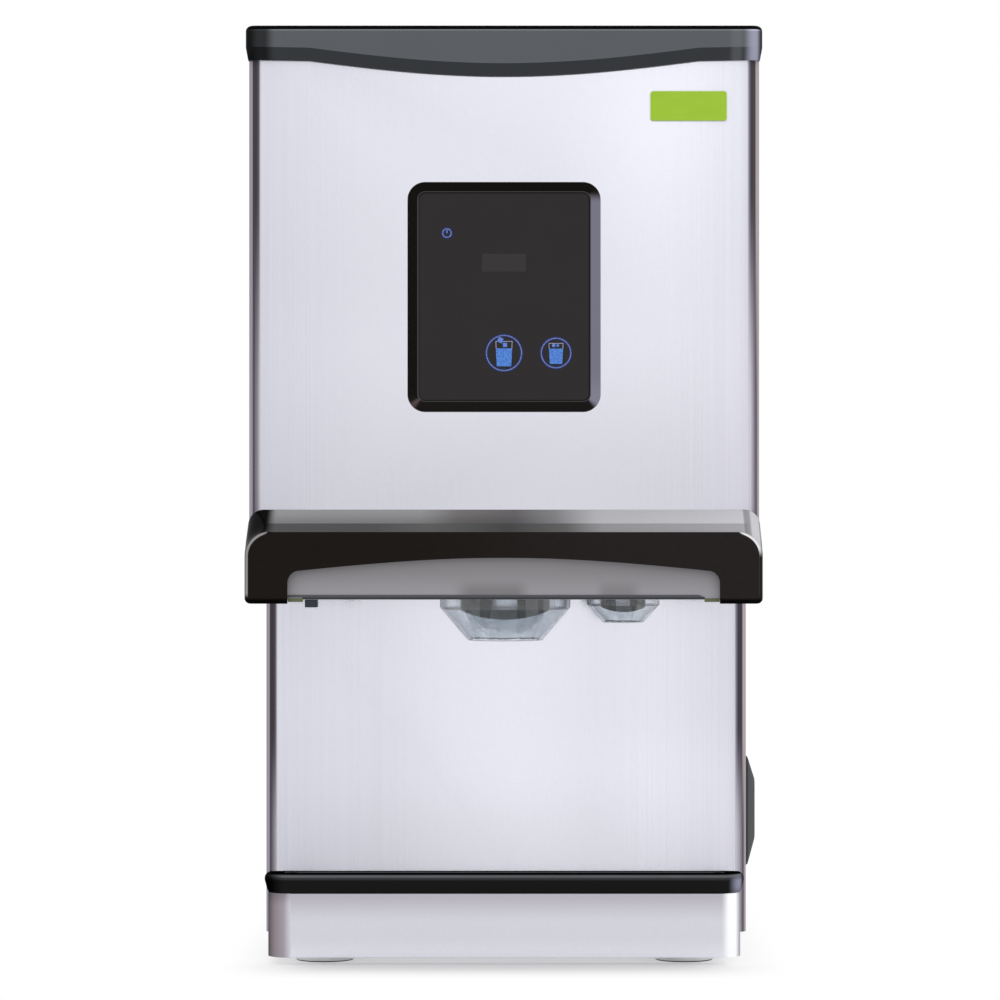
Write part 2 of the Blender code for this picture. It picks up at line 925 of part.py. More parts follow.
def nozzle_cover():
    """Grey moulding behind the visor: an upright face and the plate that holds the nozzles."""
    holes = (circle(0, nozzle_line, ice_nozzle_radius + fit_gap, fine_steps),
             circle(water_nozzle_offset, nozzle_line, water_nozzle_radius + fit_gap, fine_steps))
    face_back = cover_face_wall - cover_face_reach
    outline = [(-cover_plate_half_width, face_back - overrun / 2),
               (cover_plate_half_width, face_back - overrun / 2),
               (cover_plate_half_width, base_rear), (-cover_plate_half_width, base_rear)]
    piece = plate("nozzle_cover", grey_plastic, "XY", outline, cover_bottom, cover_top, holes)
    join(piece, box_mesh((-cover_half_width, -cover_face_reach, cover_top - cover_plate / 2),
                         (cover_half_width, face_back, cover_bottom + cover_face_height)))
    for side in (-1, 1):
        edges = sorted((side * cover_plate_half_width, side * (cover_plate_half_width - cover_rib)))
        join(piece, box_mesh((edges[0], cover_rib_start, cover_top - cover_plate / 2),
                             (edges[1], base_rear - cover_rib, deck_low - fit_gap)))
    catch_back = catch_depth - cover_face_reach
    join(piece, box_mesh((catch_centre - catch_width / 2, -cover_face_reach + cover_face_wall / 2,
                          cover_bottom - catch_drop),
                         (catch_centre + catch_width / 2, catch_back, cover_bottom + cover_plate / 2)))


def nozzle(name, x, radius, mouth, shoulder_drop, drop):
    """A clear funnel that hangs by its flange in the cover."""
    flange_low = cover_top + fit_gap
    flange_top = flange_low + nozzle_flange
    inner = radius - nozzle_wall
    shoulder = cover_bottom - shoulder_drop
    bottom = cover_bottom - drop
    profile = [(inner, flange_top), (radius + nozzle_flange_reach, flange_top),
               (radius + nozzle_flange_reach, flange_low), (radius, flange_low), (radius, shoulder),
               (mouth, bottom), (mouth - nozzle_cone_wall, bottom), (inner, shoulder)]
    turned(name, clear_plastic, profile, centre=(x, nozzle_line, 0), steps=fine_steps, closed=True)


def ice_nozzle():
    nozzle("ice_nozzle", 0, ice_nozzle_radius, ice_nozzle_mouth, ice_nozzle_shoulder_drop,
           ice_nozzle_drop)


def water_nozzle():
    nozzle("water_nozzle", water_nozzle_offset, water_nozzle_radius, water_nozzle_mouth,
           water_nozzle_shoulder_drop, water_nozzle_drop)


# Ice chute, flap and solenoid

def chute_ring(half_width, level, wave=0.0, roundness=0.0):
    """A ring between a rounded square and a circle, with a wavy level."""
    loop = []
    reach = half_width - chute_corner
    for step in range(fine_steps):
        angle = 2 * math.pi * step / fine_steps
        along = Vector((math.cos(angle), math.sin(angle)))
        square = along * half_width / max(abs(along.x), abs(along.y))
        corner = Vector((max(-reach, min(reach, square.x)), max(-reach, min(reach, square.y))))
        if (square - corner).length > 0 and abs(corner.x) == reach and abs(corner.y) == reach:
            square = corner + (square - corner).normalized() * chute_corner
        point = square.lerp(along * half_width, roundness)
        loop.append((point.x, nozzle_line + point.y, level + wave * math.cos(2 * angle)))
    return loop


def ice_chute():
    half = chute_width / 2
    flange = half + chute_flange_reach
    inner = half - chute_wall
    skirt_inner = chute_skirt_radius - chute_wall
    edge = cover_bottom - chute_edge_drop
    skirt_top = edge + chute_skirt_height
    neck = skirt_top + chute_neck
    loops = [
        chute_ring(flange, chute_top),
        chute_ring(flange, chute_top - chute_flange),
        chute_ring(half, chute_top - chute_flange),
        chute_ring(half, neck),
        chute_ring(chute_skirt_radius, skirt_top, roundness=1.0),
        chute_ring(chute_skirt_radius, edge, chute_edge_wave, 1.0),
        chute_ring(skirt_inner, edge, chute_edge_wave, 1.0),
        chute_ring(skirt_inner, skirt_top, roundness=1.0),
        chute_ring(inner, neck),
        chute_ring(inner, chute_top),
    ]
    piece = smooth(skin("ice_chute", dark_plastic, loops, closed=True))
    pin_hole = circle(flap_y(), flap_z(), flap_pin_radius + fit_gap, small_steps)
    cut(piece, plate_mesh("YZ", pin_hole, -half - overrun, half + overrun))


def flap_y():
    return nozzle_line + flap_axis_back


def flap_z():
    return deck_top + flap_axis_height


def chute_flap():
    """Flap on a cross pin, with the lever that the solenoid pulls."""
    axis = (0, flap_y(), flap_z())
    half = flap_plate / 2
    pin_start = -chute_width / 2 - flap_plate
    pin_end = flap_lever_offset + flap_lever_width / 2
    pin = [(0, pin_start), (flap_pin_radius, pin_start), (flap_pin_radius, pin_end), (0, pin_end)]
    piece = turned("chute_flap", steel, pin, "X", axis, small_steps, origin=axis)
    join(piece, box_mesh((-flap_half_width, flap_y() - flap_reach, flap_z() - half),
                         (flap_half_width, flap_y(), flap_z() + half)))
    lever_side = flap_lever_offset - flap_lever_width / 2
    join(piece, box_mesh((lever_side, flap_y() - flap_lever_reach, flap_z() - flap_lever_height / 2),
                         (pin_end - fit_gap, flap_y() + flap_pin_radius / 2,
                          flap_z() + flap_lever_height / 2)))


def solenoid_y():
    return flap_y() - flap_lever_reach


def plunger_x():
    """The plunger stands beside the lever."""
    return flap_lever_offset + flap_lever_width / 2 + plunger_clear + plunger_radius


def flap_solenoid():
    low = deck_top + fit_gap
    high = low + solenoid_height
    x = plunger_x()
    y = solenoid_y()
    outline = rounded(x - solenoid_width / 2, y - solenoid_depth / 2, x + solenoid_width / 2,
                      y + solenoid_depth / 2, solenoid_wall)
    bore = circle(x, y, plunger_radius + plunger_bore_gap, small_steps)
    piece = plate("flap_solenoid", black_plastic, "XY", outline, low, high)
    cut(piece, plate_mesh("XY", bore, low + solenoid_wall, high + overrun))


def solenoid_plunger():
    """Rod with a hook plate that lies on top of the lever."""
    x = plunger_x()
    y = solenoid_y()
    top = flap_z() + flap_lever_height / 2 + fit_gap
    low = deck_top + solenoid_height - plunger_sunk
    profile = [(0, low), (plunger_radius, low), (plunger_radius, top + plunger_hook_plate),
               (0, top + plunger_hook_plate)]
    piece = turned("solenoid_plunger", steel, profile, centre=(x, y, 0), steps=small_steps,
                   origin=(x, y, top))
    half = plunger_hook_depth / 2
    join(piece, box_mesh((x - plunger_hook_reach, y - half, top),
                         (x, y + half, top + plunger_hook_plate - fit_gap)))


# Water spout and line

def spout_ring(radius, level, wave=0.0):
    ring = circle(0, 0, radius)
    return [(water_nozzle_offset + a, nozzle_line + b, level + wave * (a * a - b * b) / radius ** 2)
            for a, b in ring]


def spout_top():
    return deck_top + spout_height


def water_spout():
    edge = cover_bottom - spout_edge_drop
    roof = deck_low - fit_gap
    loops = [
        spout_ring(spout_bore, spout_top()),
        spout_ring(spout_neck_radius, spout_top()),
        spout_ring(spout_neck_radius, roof),
        spout_ring(spout_radius, roof),
        spout_ring(spout_radius, edge, spout_edge_wave),
        spout_ring(spout_radius - spout_wall, edge, spout_edge_wave),
        spout_ring(spout_radius - spout_wall, roof - spout_wall),
        spout_ring(spout_bore, roof - spout_wall),
    ]
    smooth(skin("water_spout", dark_plastic, loops, closed=True))


def valve_x():
    return half_body - valve_from_side


def valve_y():
    return body_depth - valve_seat_reach - valve_body_length / 2


def line_x():
    return inner_half - line_from_side


def water_line():
    """Runs from the inlet valve up through the deck and forward to the spout."""
    start = valve_height + valve_body_radius + valve_coil_height + fit_gap
    run = spout_top() + line_bend + line_radius
    corners = [
        (valve_x(), valve_y(), start),
        (valve_x(), valve_y(), start + 2 * line_bend),
        (line_x(), valve_y(), start + 2 * line_bend),
        (line_x(), valve_y(), run),
        (line_x(), nozzle_line, run),
        (water_nozzle_offset, nozzle_line, run),
        (water_nozzle_offset, nozzle_line, spout_top() + fit_gap),
    ]
    pipe("water_line", clear_plastic, corners, line_radius, line_bend)


# Ice bin and agitator

def ice_bin():
    inner = bin_radius - bin_wall
    corner = bin_corner * (1 - math.sqrt(2) / 2)
    profile = [
        (bin_hub_bore, bin_floor_low), (bin_radius - bin_corner, bin_floor_low),
        (bin_radius - corner, bin_floor_low + corner), (bin_radius, bin_floor_low + bin_corner),
        (bin_radius, bin_top), (inner, bin_top), (inner, bin_floor + bin_corner - bin_wall),
        (inner - corner / 2, bin_floor + corner / 2), (inner - bin_corner + bin_wall, bin_floor),
        (bin_hub_bore, bin_floor),
    ]
    piece = turned("ice_bin", white_plastic, profile, centre=(0, bin_centre, 0), steps=fine_steps,
                   closed=True)
    outlet = circle(0, nozzle_line, bin_outlet_radius)
    cut(piece, plate_mesh("XY", outlet, bin_floor_low - overrun, bin_floor + overrun))
    cut(piece, transfer_shape(transfer_radius + fit_gap, -bin_wall - overrun, bin_wall))


def bin_lid():
    low = bin_top + fit_gap
    inner = bin_radius - bin_wall - fit_gap
    outer = bin_radius + lid_overhang
    profile = [(0, low), (inner - lid_plate, low), (inner - lid_plate, low - lid_rim),
               (inner, low - lid_rim), (inner, low), (outer, low), (outer, low + lid_plate),
               (0, low + lid_plate)]
    turned("bin_lid", white_plastic, profile, centre=(0, bin_centre, 0), steps=fine_steps)


def agitator_motor_top():
    return bin_floor_low - fit_gap


def bin_agitator():
    """Hub with sweeping arms on the bin floor, turned by the shaft below."""
    low = bin_floor + agitator_floor_gap
    hub_top = low + agitator_hub_height
    shaft_low = agitator_motor_top() - agitator_shaft_sunk
    cone = agitator_hub_radius / 2
    profile = [(0, shaft_low), (agitator_shaft_radius, shaft_low), (agitator_shaft_radius, low),
               (agitator_hub_radius, low), (agitator_hub_radius, hub_top - cone), (cone, hub_top),
               (0, hub_top)]
    axis = (0, bin_centre, 0)
    piece = turned("bin_agitator", steel, profile, centre=axis, steps=small_steps,
                   origin=(0, bin_centre, low))
    post_top = low + (bin_top - low) * agitator_post_height_share
    for arm in range(agitator_arms):
        turn = Matrix.Rotation(2 * math.pi * arm / agitator_arms, 4, "Z")
        blade = box_mesh((0, -agitator_arm_width / 2, low + agitator_floor_gap / 2),
                         (agitator_arm_reach, agitator_arm_width / 2,
                          low + agitator_floor_gap / 2 + agitator_arm_height))
        bmesh.ops.transform(blade, matrix=Matrix.Translation(axis) @ turn, verts=blade.verts)
        join(piece, blade)
    post_y = bin_centre
    post_x = agitator_arm_reach - 2 * agitator_post_radius
    post = circle(post_x, post_y, agitator_post_radius, small_steps)
    join(piece, plate_mesh("XY", post, low + agitator_arm_height / 2, post_top))


def agitator_motor():
    low = deck_top + fit_gap
    top = agitator_motor_top()
    bore = agitator_shaft_radius + agitator_shaft_gap
    bore_low = top - agitator_shaft_sunk - overrun
    profile = [(0, low), (agitator_motor_radius - motor_round, low),
               (agitator_motor_radius, low + motor_round), (agitator_motor_radius, top), (bore, top),
               (bore, bore_low), (0, bore_low)]
    turned("agitator_motor", aluminium, profile, centre=(0, bin_centre, 0), steps=round_steps)


# Freezing cylinder

def evaporator_tube():
    inner = tube_radius - tube_wall
    profile = [(inner, tube_low), (tube_radius, tube_low), (tube_radius, tube_top), (inner, tube_top)]
    turned("evaporator_tube", steel, profile, centre=(evaporator_x, evaporator_y, 0), closed=True)


def insulation_jacket():
    inner = tube_radius + fit_gap
    profile = [(inner, jacket_start), (jacket_radius, jacket_start), (jacket_radius, tube_top),
               (inner, tube_top)]
    turned("insulation_jacket", foam, profile, centre=(evaporator_x, evaporator_y, 0), closed=True)


def transfer_ends():
    """Where the ice passage leaves the head and enters the bin, seen from above."""
    head = Vector((evaporator_x, evaporator_y))
    middle = Vector((0, bin_centre))
    along = (head - middle).normalized()
    return middle + along * bin_radius, head - along * head_radius, along


def transfer_shape(radius, start_extra, end_extra, bore=None):
    """A straight round run between bin and head, longer or shorter at each end."""
    bin_end, head_end, along = transfer_ends()
    start = bin_end + along * start_extra
    stop = head_end + along * end_extra
    length = (stop - start).length
    if bore is None:
        profile = [(0, 0), (radius, 0), (radius, length), (0, length)]
        bm = turned_mesh(profile, steps=small_steps)
    else:
        profile = [(bore, 0), (radius, 0), (radius, length), (bore, length)]
        bm = turned_mesh(profile, steps=small_steps, closed=True)
    turn = Vector((0, 0, 1)).rotation_difference(Vector((along.x, along.y, 0))).to_matrix().to_4x4()
    place = Matrix.Translation((start.x, start.y, transfer_height))
    bmesh.ops.transform(bm, matrix=place @ turn, verts=bm.verts)
    return bm


def ice_transfer_tube():
    bm = transfer_shape(transfer_radius, -bin_wall, transfer_sink, transfer_radius - transfer_wall)
    smooth(add_piece("ice_transfer_tube", bm, white_plastic))


def extruder_head():
    """Closed head on the cylinder that turns the ice aside into the bin."""
    low = head_low
    top = head_low + head_height
    inner = head_radius - head_wall
    neck = tube_radius - tube_wall
    profile = [(neck, low), (head_radius, low), (head_radius, top - head_round),
               (head_radius - head_round, top), (0, top), (0, top - head_cover), (inner, top - head_cover),
               (inner, low + head_cover), (neck, low + head_cover)]
    bm = turned_mesh(profile, centre=(evaporator_x, evaporator_y, 0), closed=True)
    piece = smooth(add_piece("extruder_head", bm, steel))
    cut(piece, transfer_shape(transfer_radius + fit_gap, 2 * bin_wall, head_wall + overrun))


def ice_auger():
    """Shaft with one helical flight, from the wheel in the gear unit up into the head."""
    low = gear_low + gear_thickness + fit_gap
    flight_low = tube_low + auger_end_gap
    flight_top = tube_top - auger_end_gap
    shaft_top = head_low + head_height - head_cover - auger_end_gap
    origin = (evaporator_x, evaporator_y, low)
    profile = [(0, low), (auger_core, low), (auger_core, shaft_top), (0, shaft_top)]
    piece = turned("ice_auger", steel, profile, centre=(evaporator_x, evaporator_y, 0),
                   steps=small_steps, origin=origin)
    bm = bmesh.new()
    count = auger_turns * auger_turn_steps
    rows = []
    for step in range(count + 1):
        angle = 2 * math.pi * step / auger_turn_steps
        middle = flight_low + auger_flight + (flight_top - flight_low - 2 * auger_flight) * step / count
        root = auger_core - overrun
        row = []
        for radius, shift in ((root, -auger_flight / 2), (auger_radius, -auger_flight / 4),
                              (auger_radius, auger_flight / 4), (root, auger_flight / 2)):
            row.append(bm.verts.new((evaporator_x + radius * math.cos(angle),
                                     evaporator_y + radius * math.sin(angle), middle + shift)))
        rows.append(row)
    for near, far in zip(rows, rows[1:]):
        for index in range(4):
            after = (index + 1) % 4
            bm.faces.new((near[index], near[after], far[after], far[index]))
    bm.faces.new(rows[0])
    bm.faces.new(rows[-1])
    join(piece, bm)


# Gear unit

def gear_outline(centre_a, centre_b, teeth, turn):
    """Straight-flanked teeth round a pitch circle."""
    pitch = gear_module * teeth / 2
    tip = pitch + gear_module * gear_addendum_share
    root = pitch - gear_module * gear_dedendum_share
    tooth = 2 * math.pi / teeth
    points = []
    for index in range(teeth):
        middle = math.radians(turn) + tooth * index
        for radius, share in ((root, -tooth_root_share), (tip, -tooth_top_share),
                              (tip, tooth_top_share), (root, tooth_root_share)):
            angle = middle + tooth * share / 2
            points.append((centre_a + radius * math.cos(angle), centre_b + radius * math.sin(angle)))
    return points


def auger_gear():
    bore = circle(evaporator_x, evaporator_y, auger_core / 2, small_steps)
    origin = (evaporator_x, evaporator_y, gear_low)
    half_tooth = 180.0 / wheel_teeth
    outline = gear_outline(evaporator_x, evaporator_y, wheel_teeth, half_tooth)
    plate("auger_gear", brass, "XY", outline, gear_low, gear_low + gear_thickness, (bore,), origin)


def motor_pinion():
    """Pinion on the motor's shaft; the shaft runs up into the motor."""
    origin = (pinion_x, evaporator_y, gear_low)
    outline = gear_outline(pinion_x, evaporator_y, pinion_teeth, 180.0)
    piece = plate("motor_pinion", steel, "XY", outline, gear_low, gear_low + gear_thickness,
                  origin=origin)
    shaft = circle(pinion_x, evaporator_y, pinion_shaft_radius, small_steps)
    shaft_top = gearbox_top + fit_gap + motor_boss_height
    join(piece, plate_mesh("XY", shaft, gear_low + gear_thickness / 2, shaft_top))


def gearbox_outline(extra):
    """Two round ends over the wheel and the pinion, joined by straight sides."""
    wheel_end = wheel_tip + gearbox_clear + extra
    pinion_end = pinion_tip + gearbox_clear + extra
    lean = math.degrees(math.asin((wheel_end - pinion_end) / gear_centres))
    return (arc(evaporator_x, evaporator_y, wheel_end, 90 - lean, 270 + lean, round_steps // 2)
            + arc(pinion_x, evaporator_y, pinion_end, -90 + lean, 90 - lean, small_steps // 2))


def gearbox_housing():
    """Cast case, open below, over the wheel and the pinion; it stands on the base pan."""
    low = pan_top + fit_gap
    roof = gearbox_top - gearbox_plate
    outer = gearbox_outline(gearbox_wall)
    inner = gearbox_outline(0)
    piece = smooth(skin("gearbox_housing", aluminium, [
        level_loop(outer, "XY", gearbox_top),
        level_loop(outer, "XY", low),
        level_loop(inner, "XY", low),
        level_loop(inner, "XY", roof),
    ]))
    holes = (circle(evaporator_x, evaporator_y, auger_core + shaft_gap, small_steps),
             circle(pinion_x, evaporator_y, pinion_shaft_radius + shaft_gap, small_steps))
    for hole in holes:
        cut(piece, plate_mesh("XY", hole, roof - overrun, gearbox_top + overrun))


def gear_motor():
    low = gearbox_top + fit_gap
    top = low + motor_height
    bore = pinion_shaft_radius + shaft_gap
    bore_top = low + motor_boss_height + overrun
    profile = [(bore, low), (motor_radius, low), (motor_radius, top - motor_round),
               (motor_radius - motor_round, top), (motor_boss_radius, top),
               (motor_boss_radius, top + motor_boss_height), (0, top + motor_boss_height), (0, bore_top),
               (bore, bore_top)]
    bm = turned_mesh(profile, centre=(pinion_x, evaporator_y, 0), steps=round_steps, closed=True)
    smooth(add_piece("gear_motor", bm, black_plastic))


# Refrigeration

def compressor_place():
    return -half_body + compressor_from_side, splash_inside + compressor_from_splash


def compressor():
    x, y = compressor_place()
    low = pan_top + fit_gap
    can_low = low + compressor_foot_lift + compressor_foot_plate
    top = low + compressor_height
    profile = [(0, can_low - compressor_foot_plate)]
    profile.append((compressor_foot_radius, can_low - compressor_foot_plate))
    profile.append((compressor_foot_radius, can_low))
    profile.append((compressor_radius, can_low))
    profile += arc(compressor_radius - compressor_round, top - compressor_round, compressor_round,
                   0, 90, corner_steps)
    profile.append((0, top))
    piece = turned("compressor", black_paint, profile, centre=(x, y, 0))
    reach = compressor_foot_radius - compressor_grommet_radius
    for side_a in (-1, 1):
        for side_b in (-1, 1):
            foot = circle(x + side_a * reach * math.sqrt(2) / 2, y + side_b * reach * math.sqrt(2) / 2,
                          compressor_grommet_radius, small_steps // 2)
            join(piece, plate_mesh("XY", foot, low, can_low - compressor_foot_plate / 2))


def condenser_faces():
    outer = half_body - condenser_from_side
    return outer - condenser_thickness, outer


def condenser_run():
    start = splash_inside + condenser_from_splash
    return start, start + condenser_length


def condenser():
    """Upright core with cross fins."""
    inner, outer = condenser_faces()
    start = condenser_run()[0]
    low = pan_top + fit_gap
    middle = (inner + outer) / 2
    core = fin_core_thickness / 2
    pitch = (condenser_length - fin_thickness) / (condenser_fins - 1)
    outline = []
    for index in range(condenser_fins):
        here = start + pitch * index
        if index:
            outline.append((middle - core, here))
        outline += [(inner, here), (inner, here + fin_thickness)]
        if index < condenser_fins - 1:
            outline.append((middle - core, here + fin_thickness))
    for index in reversed(range(condenser_fins)):
        here = start + pitch * index
        if index < condenser_fins - 1:
            outline.append((middle + core, here + fin_thickness))
        outline += [(outer, here + fin_thickness), (outer, here)]
        if index:
            outline.append((middle + core, here))
    plate("condenser", aluminium, "XY", outline, low, low + condenser_height)


def fan_place():
    """Back face of the shroud's plate and the middle of its ring."""
    x = condenser_faces()[0] - fit_gap - shroud_plate
    return x, sum(condenser_run()) / 2, pan_top + fit_gap + condenser_height / 2


def fan_shroud():
    """Plate on the condenser's inner face with a ring round the blades."""
    start, stop = condenser_run()
    x, y, z = fan_place()
    low = pan_top + fit_gap
    ring_inner = fan_radius + fan_ring_gap
    ring_outer = ring_inner + fan_ring_wall
    outline = rounded(start, low, stop, low + condenser_height, fan_ring_wall)
    hole = circle(y, z, ring_inner, fine_steps)
    piece = plate("fan_shroud", black_plastic, "YZ", outline, x, x + shroud_plate, (hole,))
    profile = [(ring_inner, 0), (ring_outer, 0), (ring_outer, shroud_ring_depth + shroud_plate / 2),
               (ring_inner, shroud_ring_depth + shroud_plate / 2)]
    join(piece, turned_mesh(profile, "X", (x - shroud_ring_depth, y, z), fine_steps, True))


def fan_middle():
    return fan_place()[0] - shroud_ring_depth / 2


def fan_rotor():
    """Hub with pitched blades; its shaft runs into the motor."""
    y, z = fan_place()[1:]
    middle = fan_middle()
    half = fan_hub_depth / 2
    shaft_end = -half - fan_motor_gap - motor_boss_height
    profile = [(0, half), (fan_hub_radius, half), (fan_hub_radius, -half), (fan_shaft_radius, -half),
               (fan_shaft_radius, shaft_end), (0, shaft_end)]
    piece = turned("fan_rotor", black_plastic, profile, "X", (middle, y, z), round_steps,
                   origin=(middle, y, z))
    for blade in range(fan_blades):
        root = fan_hub_radius - fan_blade_thickness
        vane = box_mesh((-fan_blade_thickness / 2, -fan_blade_chord / 2, 0),
                        (fan_blade_thickness / 2, fan_blade_chord / 2, fan_radius - root))
        for vertex in vane.verts:
            if vertex.co.z == 0:
                vertex.co.y *= fan_hub_depth / fan_blade_chord
        pitch = Matrix.Rotation(math.radians(fan_blade_pitch), 4, "Z")
        spoke = Matrix.Translation((0, 0, root))
        turn = Matrix.Rotation(2 * math.pi * blade / fan_blades, 4, "X")
        place = Matrix.Translation((middle, y, z)) @ turn @ spoke @ pitch
        bmesh.ops.transform(vane, matrix=place, verts=vane.verts)
        for vertex in vane.verts:
            offset = Vector((vertex.co.y - y, vertex.co.z - z))
            if offset.length > fan_radius:
                offset *= fan_radius / offset.length
                vertex.co.y = y + offset.x
                vertex.co.z = z + offset.y
        join(piece, vane)


def fan_motor():
    """Motor on a bracket that crosses the shroud's ring."""
    x, y, z = fan_place()
    front = fan_middle() - fan_hub_depth / 2 - fan_motor_gap
    bore = fan_shaft_radius + fan_motor_gap
    bore_end = -motor_boss_height - overrun
    profile = [(bore, 0), (fan_motor_radius, 0), (fan_motor_radius, -fan_motor_length),
               (0, -fan_motor_length), (0, bore_end), (bore, bore_end)]
    bm = turned_mesh(profile, "X", (front, y, z), round_steps, True)
    piece = smooth(add_piece("fan_motor", bm, black_plastic))
    bracket_x = x - shroud_ring_depth - fit_gap - fan_bracket_plate
    reach = fan_radius + fan_ring_gap + fan_ring_wall
    for side in (-1, 1):
        edges = sorted((side * (fan_motor_radius - fan_bracket_plate), side * reach))
        join(piece, box_mesh((bracket_x, y + edges[0], z - fan_bracket_width / 2),
                             (bracket_x + fan_bracket_plate, y + edges[1], z + fan_bracket_width / 2)))


def discharge_pipe():
    """From the top of the compressor over to the top of the condenser."""
    x, y = compressor_place()
    port = x + compressor_radius * pipe_port_share
    top = pan_top + fit_gap + compressor_height
    run = pan_top + condenser_height + pipe_rise
    end_x = sum(condenser_faces()) / 2
    corners = [(port, y, top + fit_gap), (port, y, run), (end_x, y, run),
               (end_x, y, pan_top + 2 * fit_gap + condenser_height)]
    pipe("discharge_pipe", copper, corners, pipe_radius, pipe_bend)


def suction_pipe():
    """From the cylinder's jacket back to the top of the compressor."""
    y = compressor_place()[1]
    top = pan_top + fit_gap + compressor_height
    run = top + pipe_rise
    flat = jacket_radius * math.cos(math.pi / round_steps)
    end_y = evaporator_y - flat - fit_gap
    corners = [(evaporator_x, y, top + fit_gap), (evaporator_x, y, run), (evaporator_x, end_y, run)]
    pipe("suction_pipe", copper, corners, pipe_radius, pipe_bend)


# Water reservoir

def reservoir_place():
    low_x = half_body - reservoir_from_side - reservoir_width
    low_y = rear_inside - reservoir_from_rear - reservoir_depth
    return low_x, low_y, deck_top + fit_gap


def float_axis():
    x, y, z = reservoir_place()
    return x + reservoir_width / 2, y + float_axis_in, z + reservoir_height - float_axis_drop


def water_reservoir():
    x, y, z = reservoir_place()
    outer = rounded(x, y, x + reservoir_width, y + reservoir_depth, reservoir_corner)
    wall = reservoir_wall
    inner = rounded(x + wall, y + wall, x + reservoir_width - wall, y + reservoir_depth - wall,
                    reservoir_corner - wall)
    piece = pan("water_reservoir", white_plastic, outer, inner, z, wall, z + reservoir_height)
    hole = circle(float_axis()[1], float_axis()[2], float_pin_radius + float_pin_gap, small_steps)
    cut(piece, plate_mesh("YZ", hole, x - overrun, x + reservoir_width + overrun))


def reservoir_float():
    """Float on an arm; its pin turns in the two side walls."""
    x, y, z = float_axis()
    half = reservoir_width / 2 - reservoir_wall / 2
    pin = [(0, -half), (float_pin_radius, -half), (float_pin_radius, half), (0, half)]
    piece = turned("reservoir_float", white_plastic, pin, "X", (x, y, z), small_steps, origin=(x, y, z))
    join(piece, box_mesh((x - float_arm_width / 2, y, z - float_arm_height / 2),
                         (x + float_arm_width / 2, y + float_arm_length, z + float_arm_height / 2)))
    top = z - float_hang
    end_y = y + float_arm_length
    profile = [(0, top - float_height), (float_radius, top - float_height), (float_radius, top),
               (float_arm_width / 2, top), (float_arm_width / 2, z), (0, z)]
    join(piece, turned_mesh(profile, centre=(x, end_y, 0), steps=small_steps))


def electrical_box():
    """Folded box for the power electronics, open towards the bin."""
    low_x = half_body - reservoir_from_side - box_width
    low_y = bin_centre + bin_radius + box_gap_behind_bin
    low = deck_top + fit_gap
    outer = rounded(low_x, low, low_x + box_width, low + box_height, box_corner)
    inner = rounded(low_x + box_wall, low + box_wall, low_x + box_width - box_wall,
                    low + box_height - box_wall, box_corner - box_wall)
    skin("electrical_box", galvanised, [
        level_loop(outer, "XZ", low_y + box_depth),
        level_loop(outer, "XZ", low_y),
        level_loop(inner, "XZ", low_y),
        level_loop(inner, "XZ", low_y + box_depth - box_wall),
    ])


def inlet_valve():
    """Valve body behind the rear panel, with its thread through the panel and its coil on top."""
    x = valve_x()
    seat = body_depth - panel_gauge - fit_gap
    start = seat - valve_body_length
    tip = body_depth + fit_gap + valve_thread_reach
    profile = [(0, start), (valve_body_radius, start), (valve_body_radius, seat),
               (valve_thread_radius, seat), (valve_thread_radius, tip), (valve_bore, tip),
               (valve_bore, seat), (0, seat)]
    piece = turned("inlet_valve", white_plastic, profile, "Y", (x, 0, valve_height), small_steps)
    coil = circle(x, valve_y(), valve_coil_radius, small_steps)
    join(piece, plate_mesh("XY", coil, valve_height, valve_height + valve_body_radius + valve_coil_height))


def drain_fitting():
    outside = body_depth + fit_gap
    inner_end = rear_inside - drain_inner_reach
    tip = body_depth + drain_reach
    profile = [(drain_bore, inner_end), (hose_radius, inner_end), (hose_radius, outside),
               (drain_flange_radius, outside), (drain_flange_radius, outside + drain_flange_plate),
               (hose_radius, outside + drain_flange_plate), (hose_radius, tip), (drain_bore, tip)]
    turned("drain_fitting", dark_plastic, profile, "Y", (drain_offset, 0, drain_height), small_steps,
           closed=True)


def drain_hose():
    """From under the drip tray, along the base, to the fitting at the back."""
    end = rear_inside - drain_inner_reach - fit_gap
    corners = [(drain_offset, hose_start_back, tray_floor - fit_gap),
               (drain_offset, hose_start_back, drain_height), (drain_offset, end, drain_height)]
    pipe("drain_hose", clear_plastic, corners, hose_radius, hose_bend)


# Drip base

def tilt(y):
    """How far the rim has dropped at a depth y, so that the sides fall towards the wall."""
    return rim_slope * max(0.0, y - rim_slope_start)


def base_loop(inset, level, sloping):
    """One ring round the drip base, inset from the rim's widest outline."""
    half = base_half_width + rim_reach - inset
    front = base_front - rim_reach + inset
    rear = base_rear - inset * rear_inset_share(inset)
    corner = max(base_corner + rim_reach - inset, rear_corner)
    far = rear_corner
    points = arc(-half + corner, front + corner, corner, 180, 270, 2 * corner_steps)
    points += arc(half - corner, front + corner, corner, 270, 360, 2 * corner_steps)
    run = [front + corner + (rear - far - front - corner) * step / rim_slope_steps
           for step in range(1, rim_slope_steps)]
    points += [(half, y) for y in run]
    points += arc(half - far, rear - far, far, 0, 90, 1)
    points += arc(-half + far, rear - far, far, 90, 180, 1)
    points += [(-half, y) for y in reversed(run)]
    return [(a, b, level - (tilt(b) if sloping else 0)) for a, b in points]


def rear_inset_share(inset):
    """The rear run stays against the wall until the inset passes the base's own width."""
    return max(0.0, (inset - rim_reach) / inset) if inset > 0 else 0.0


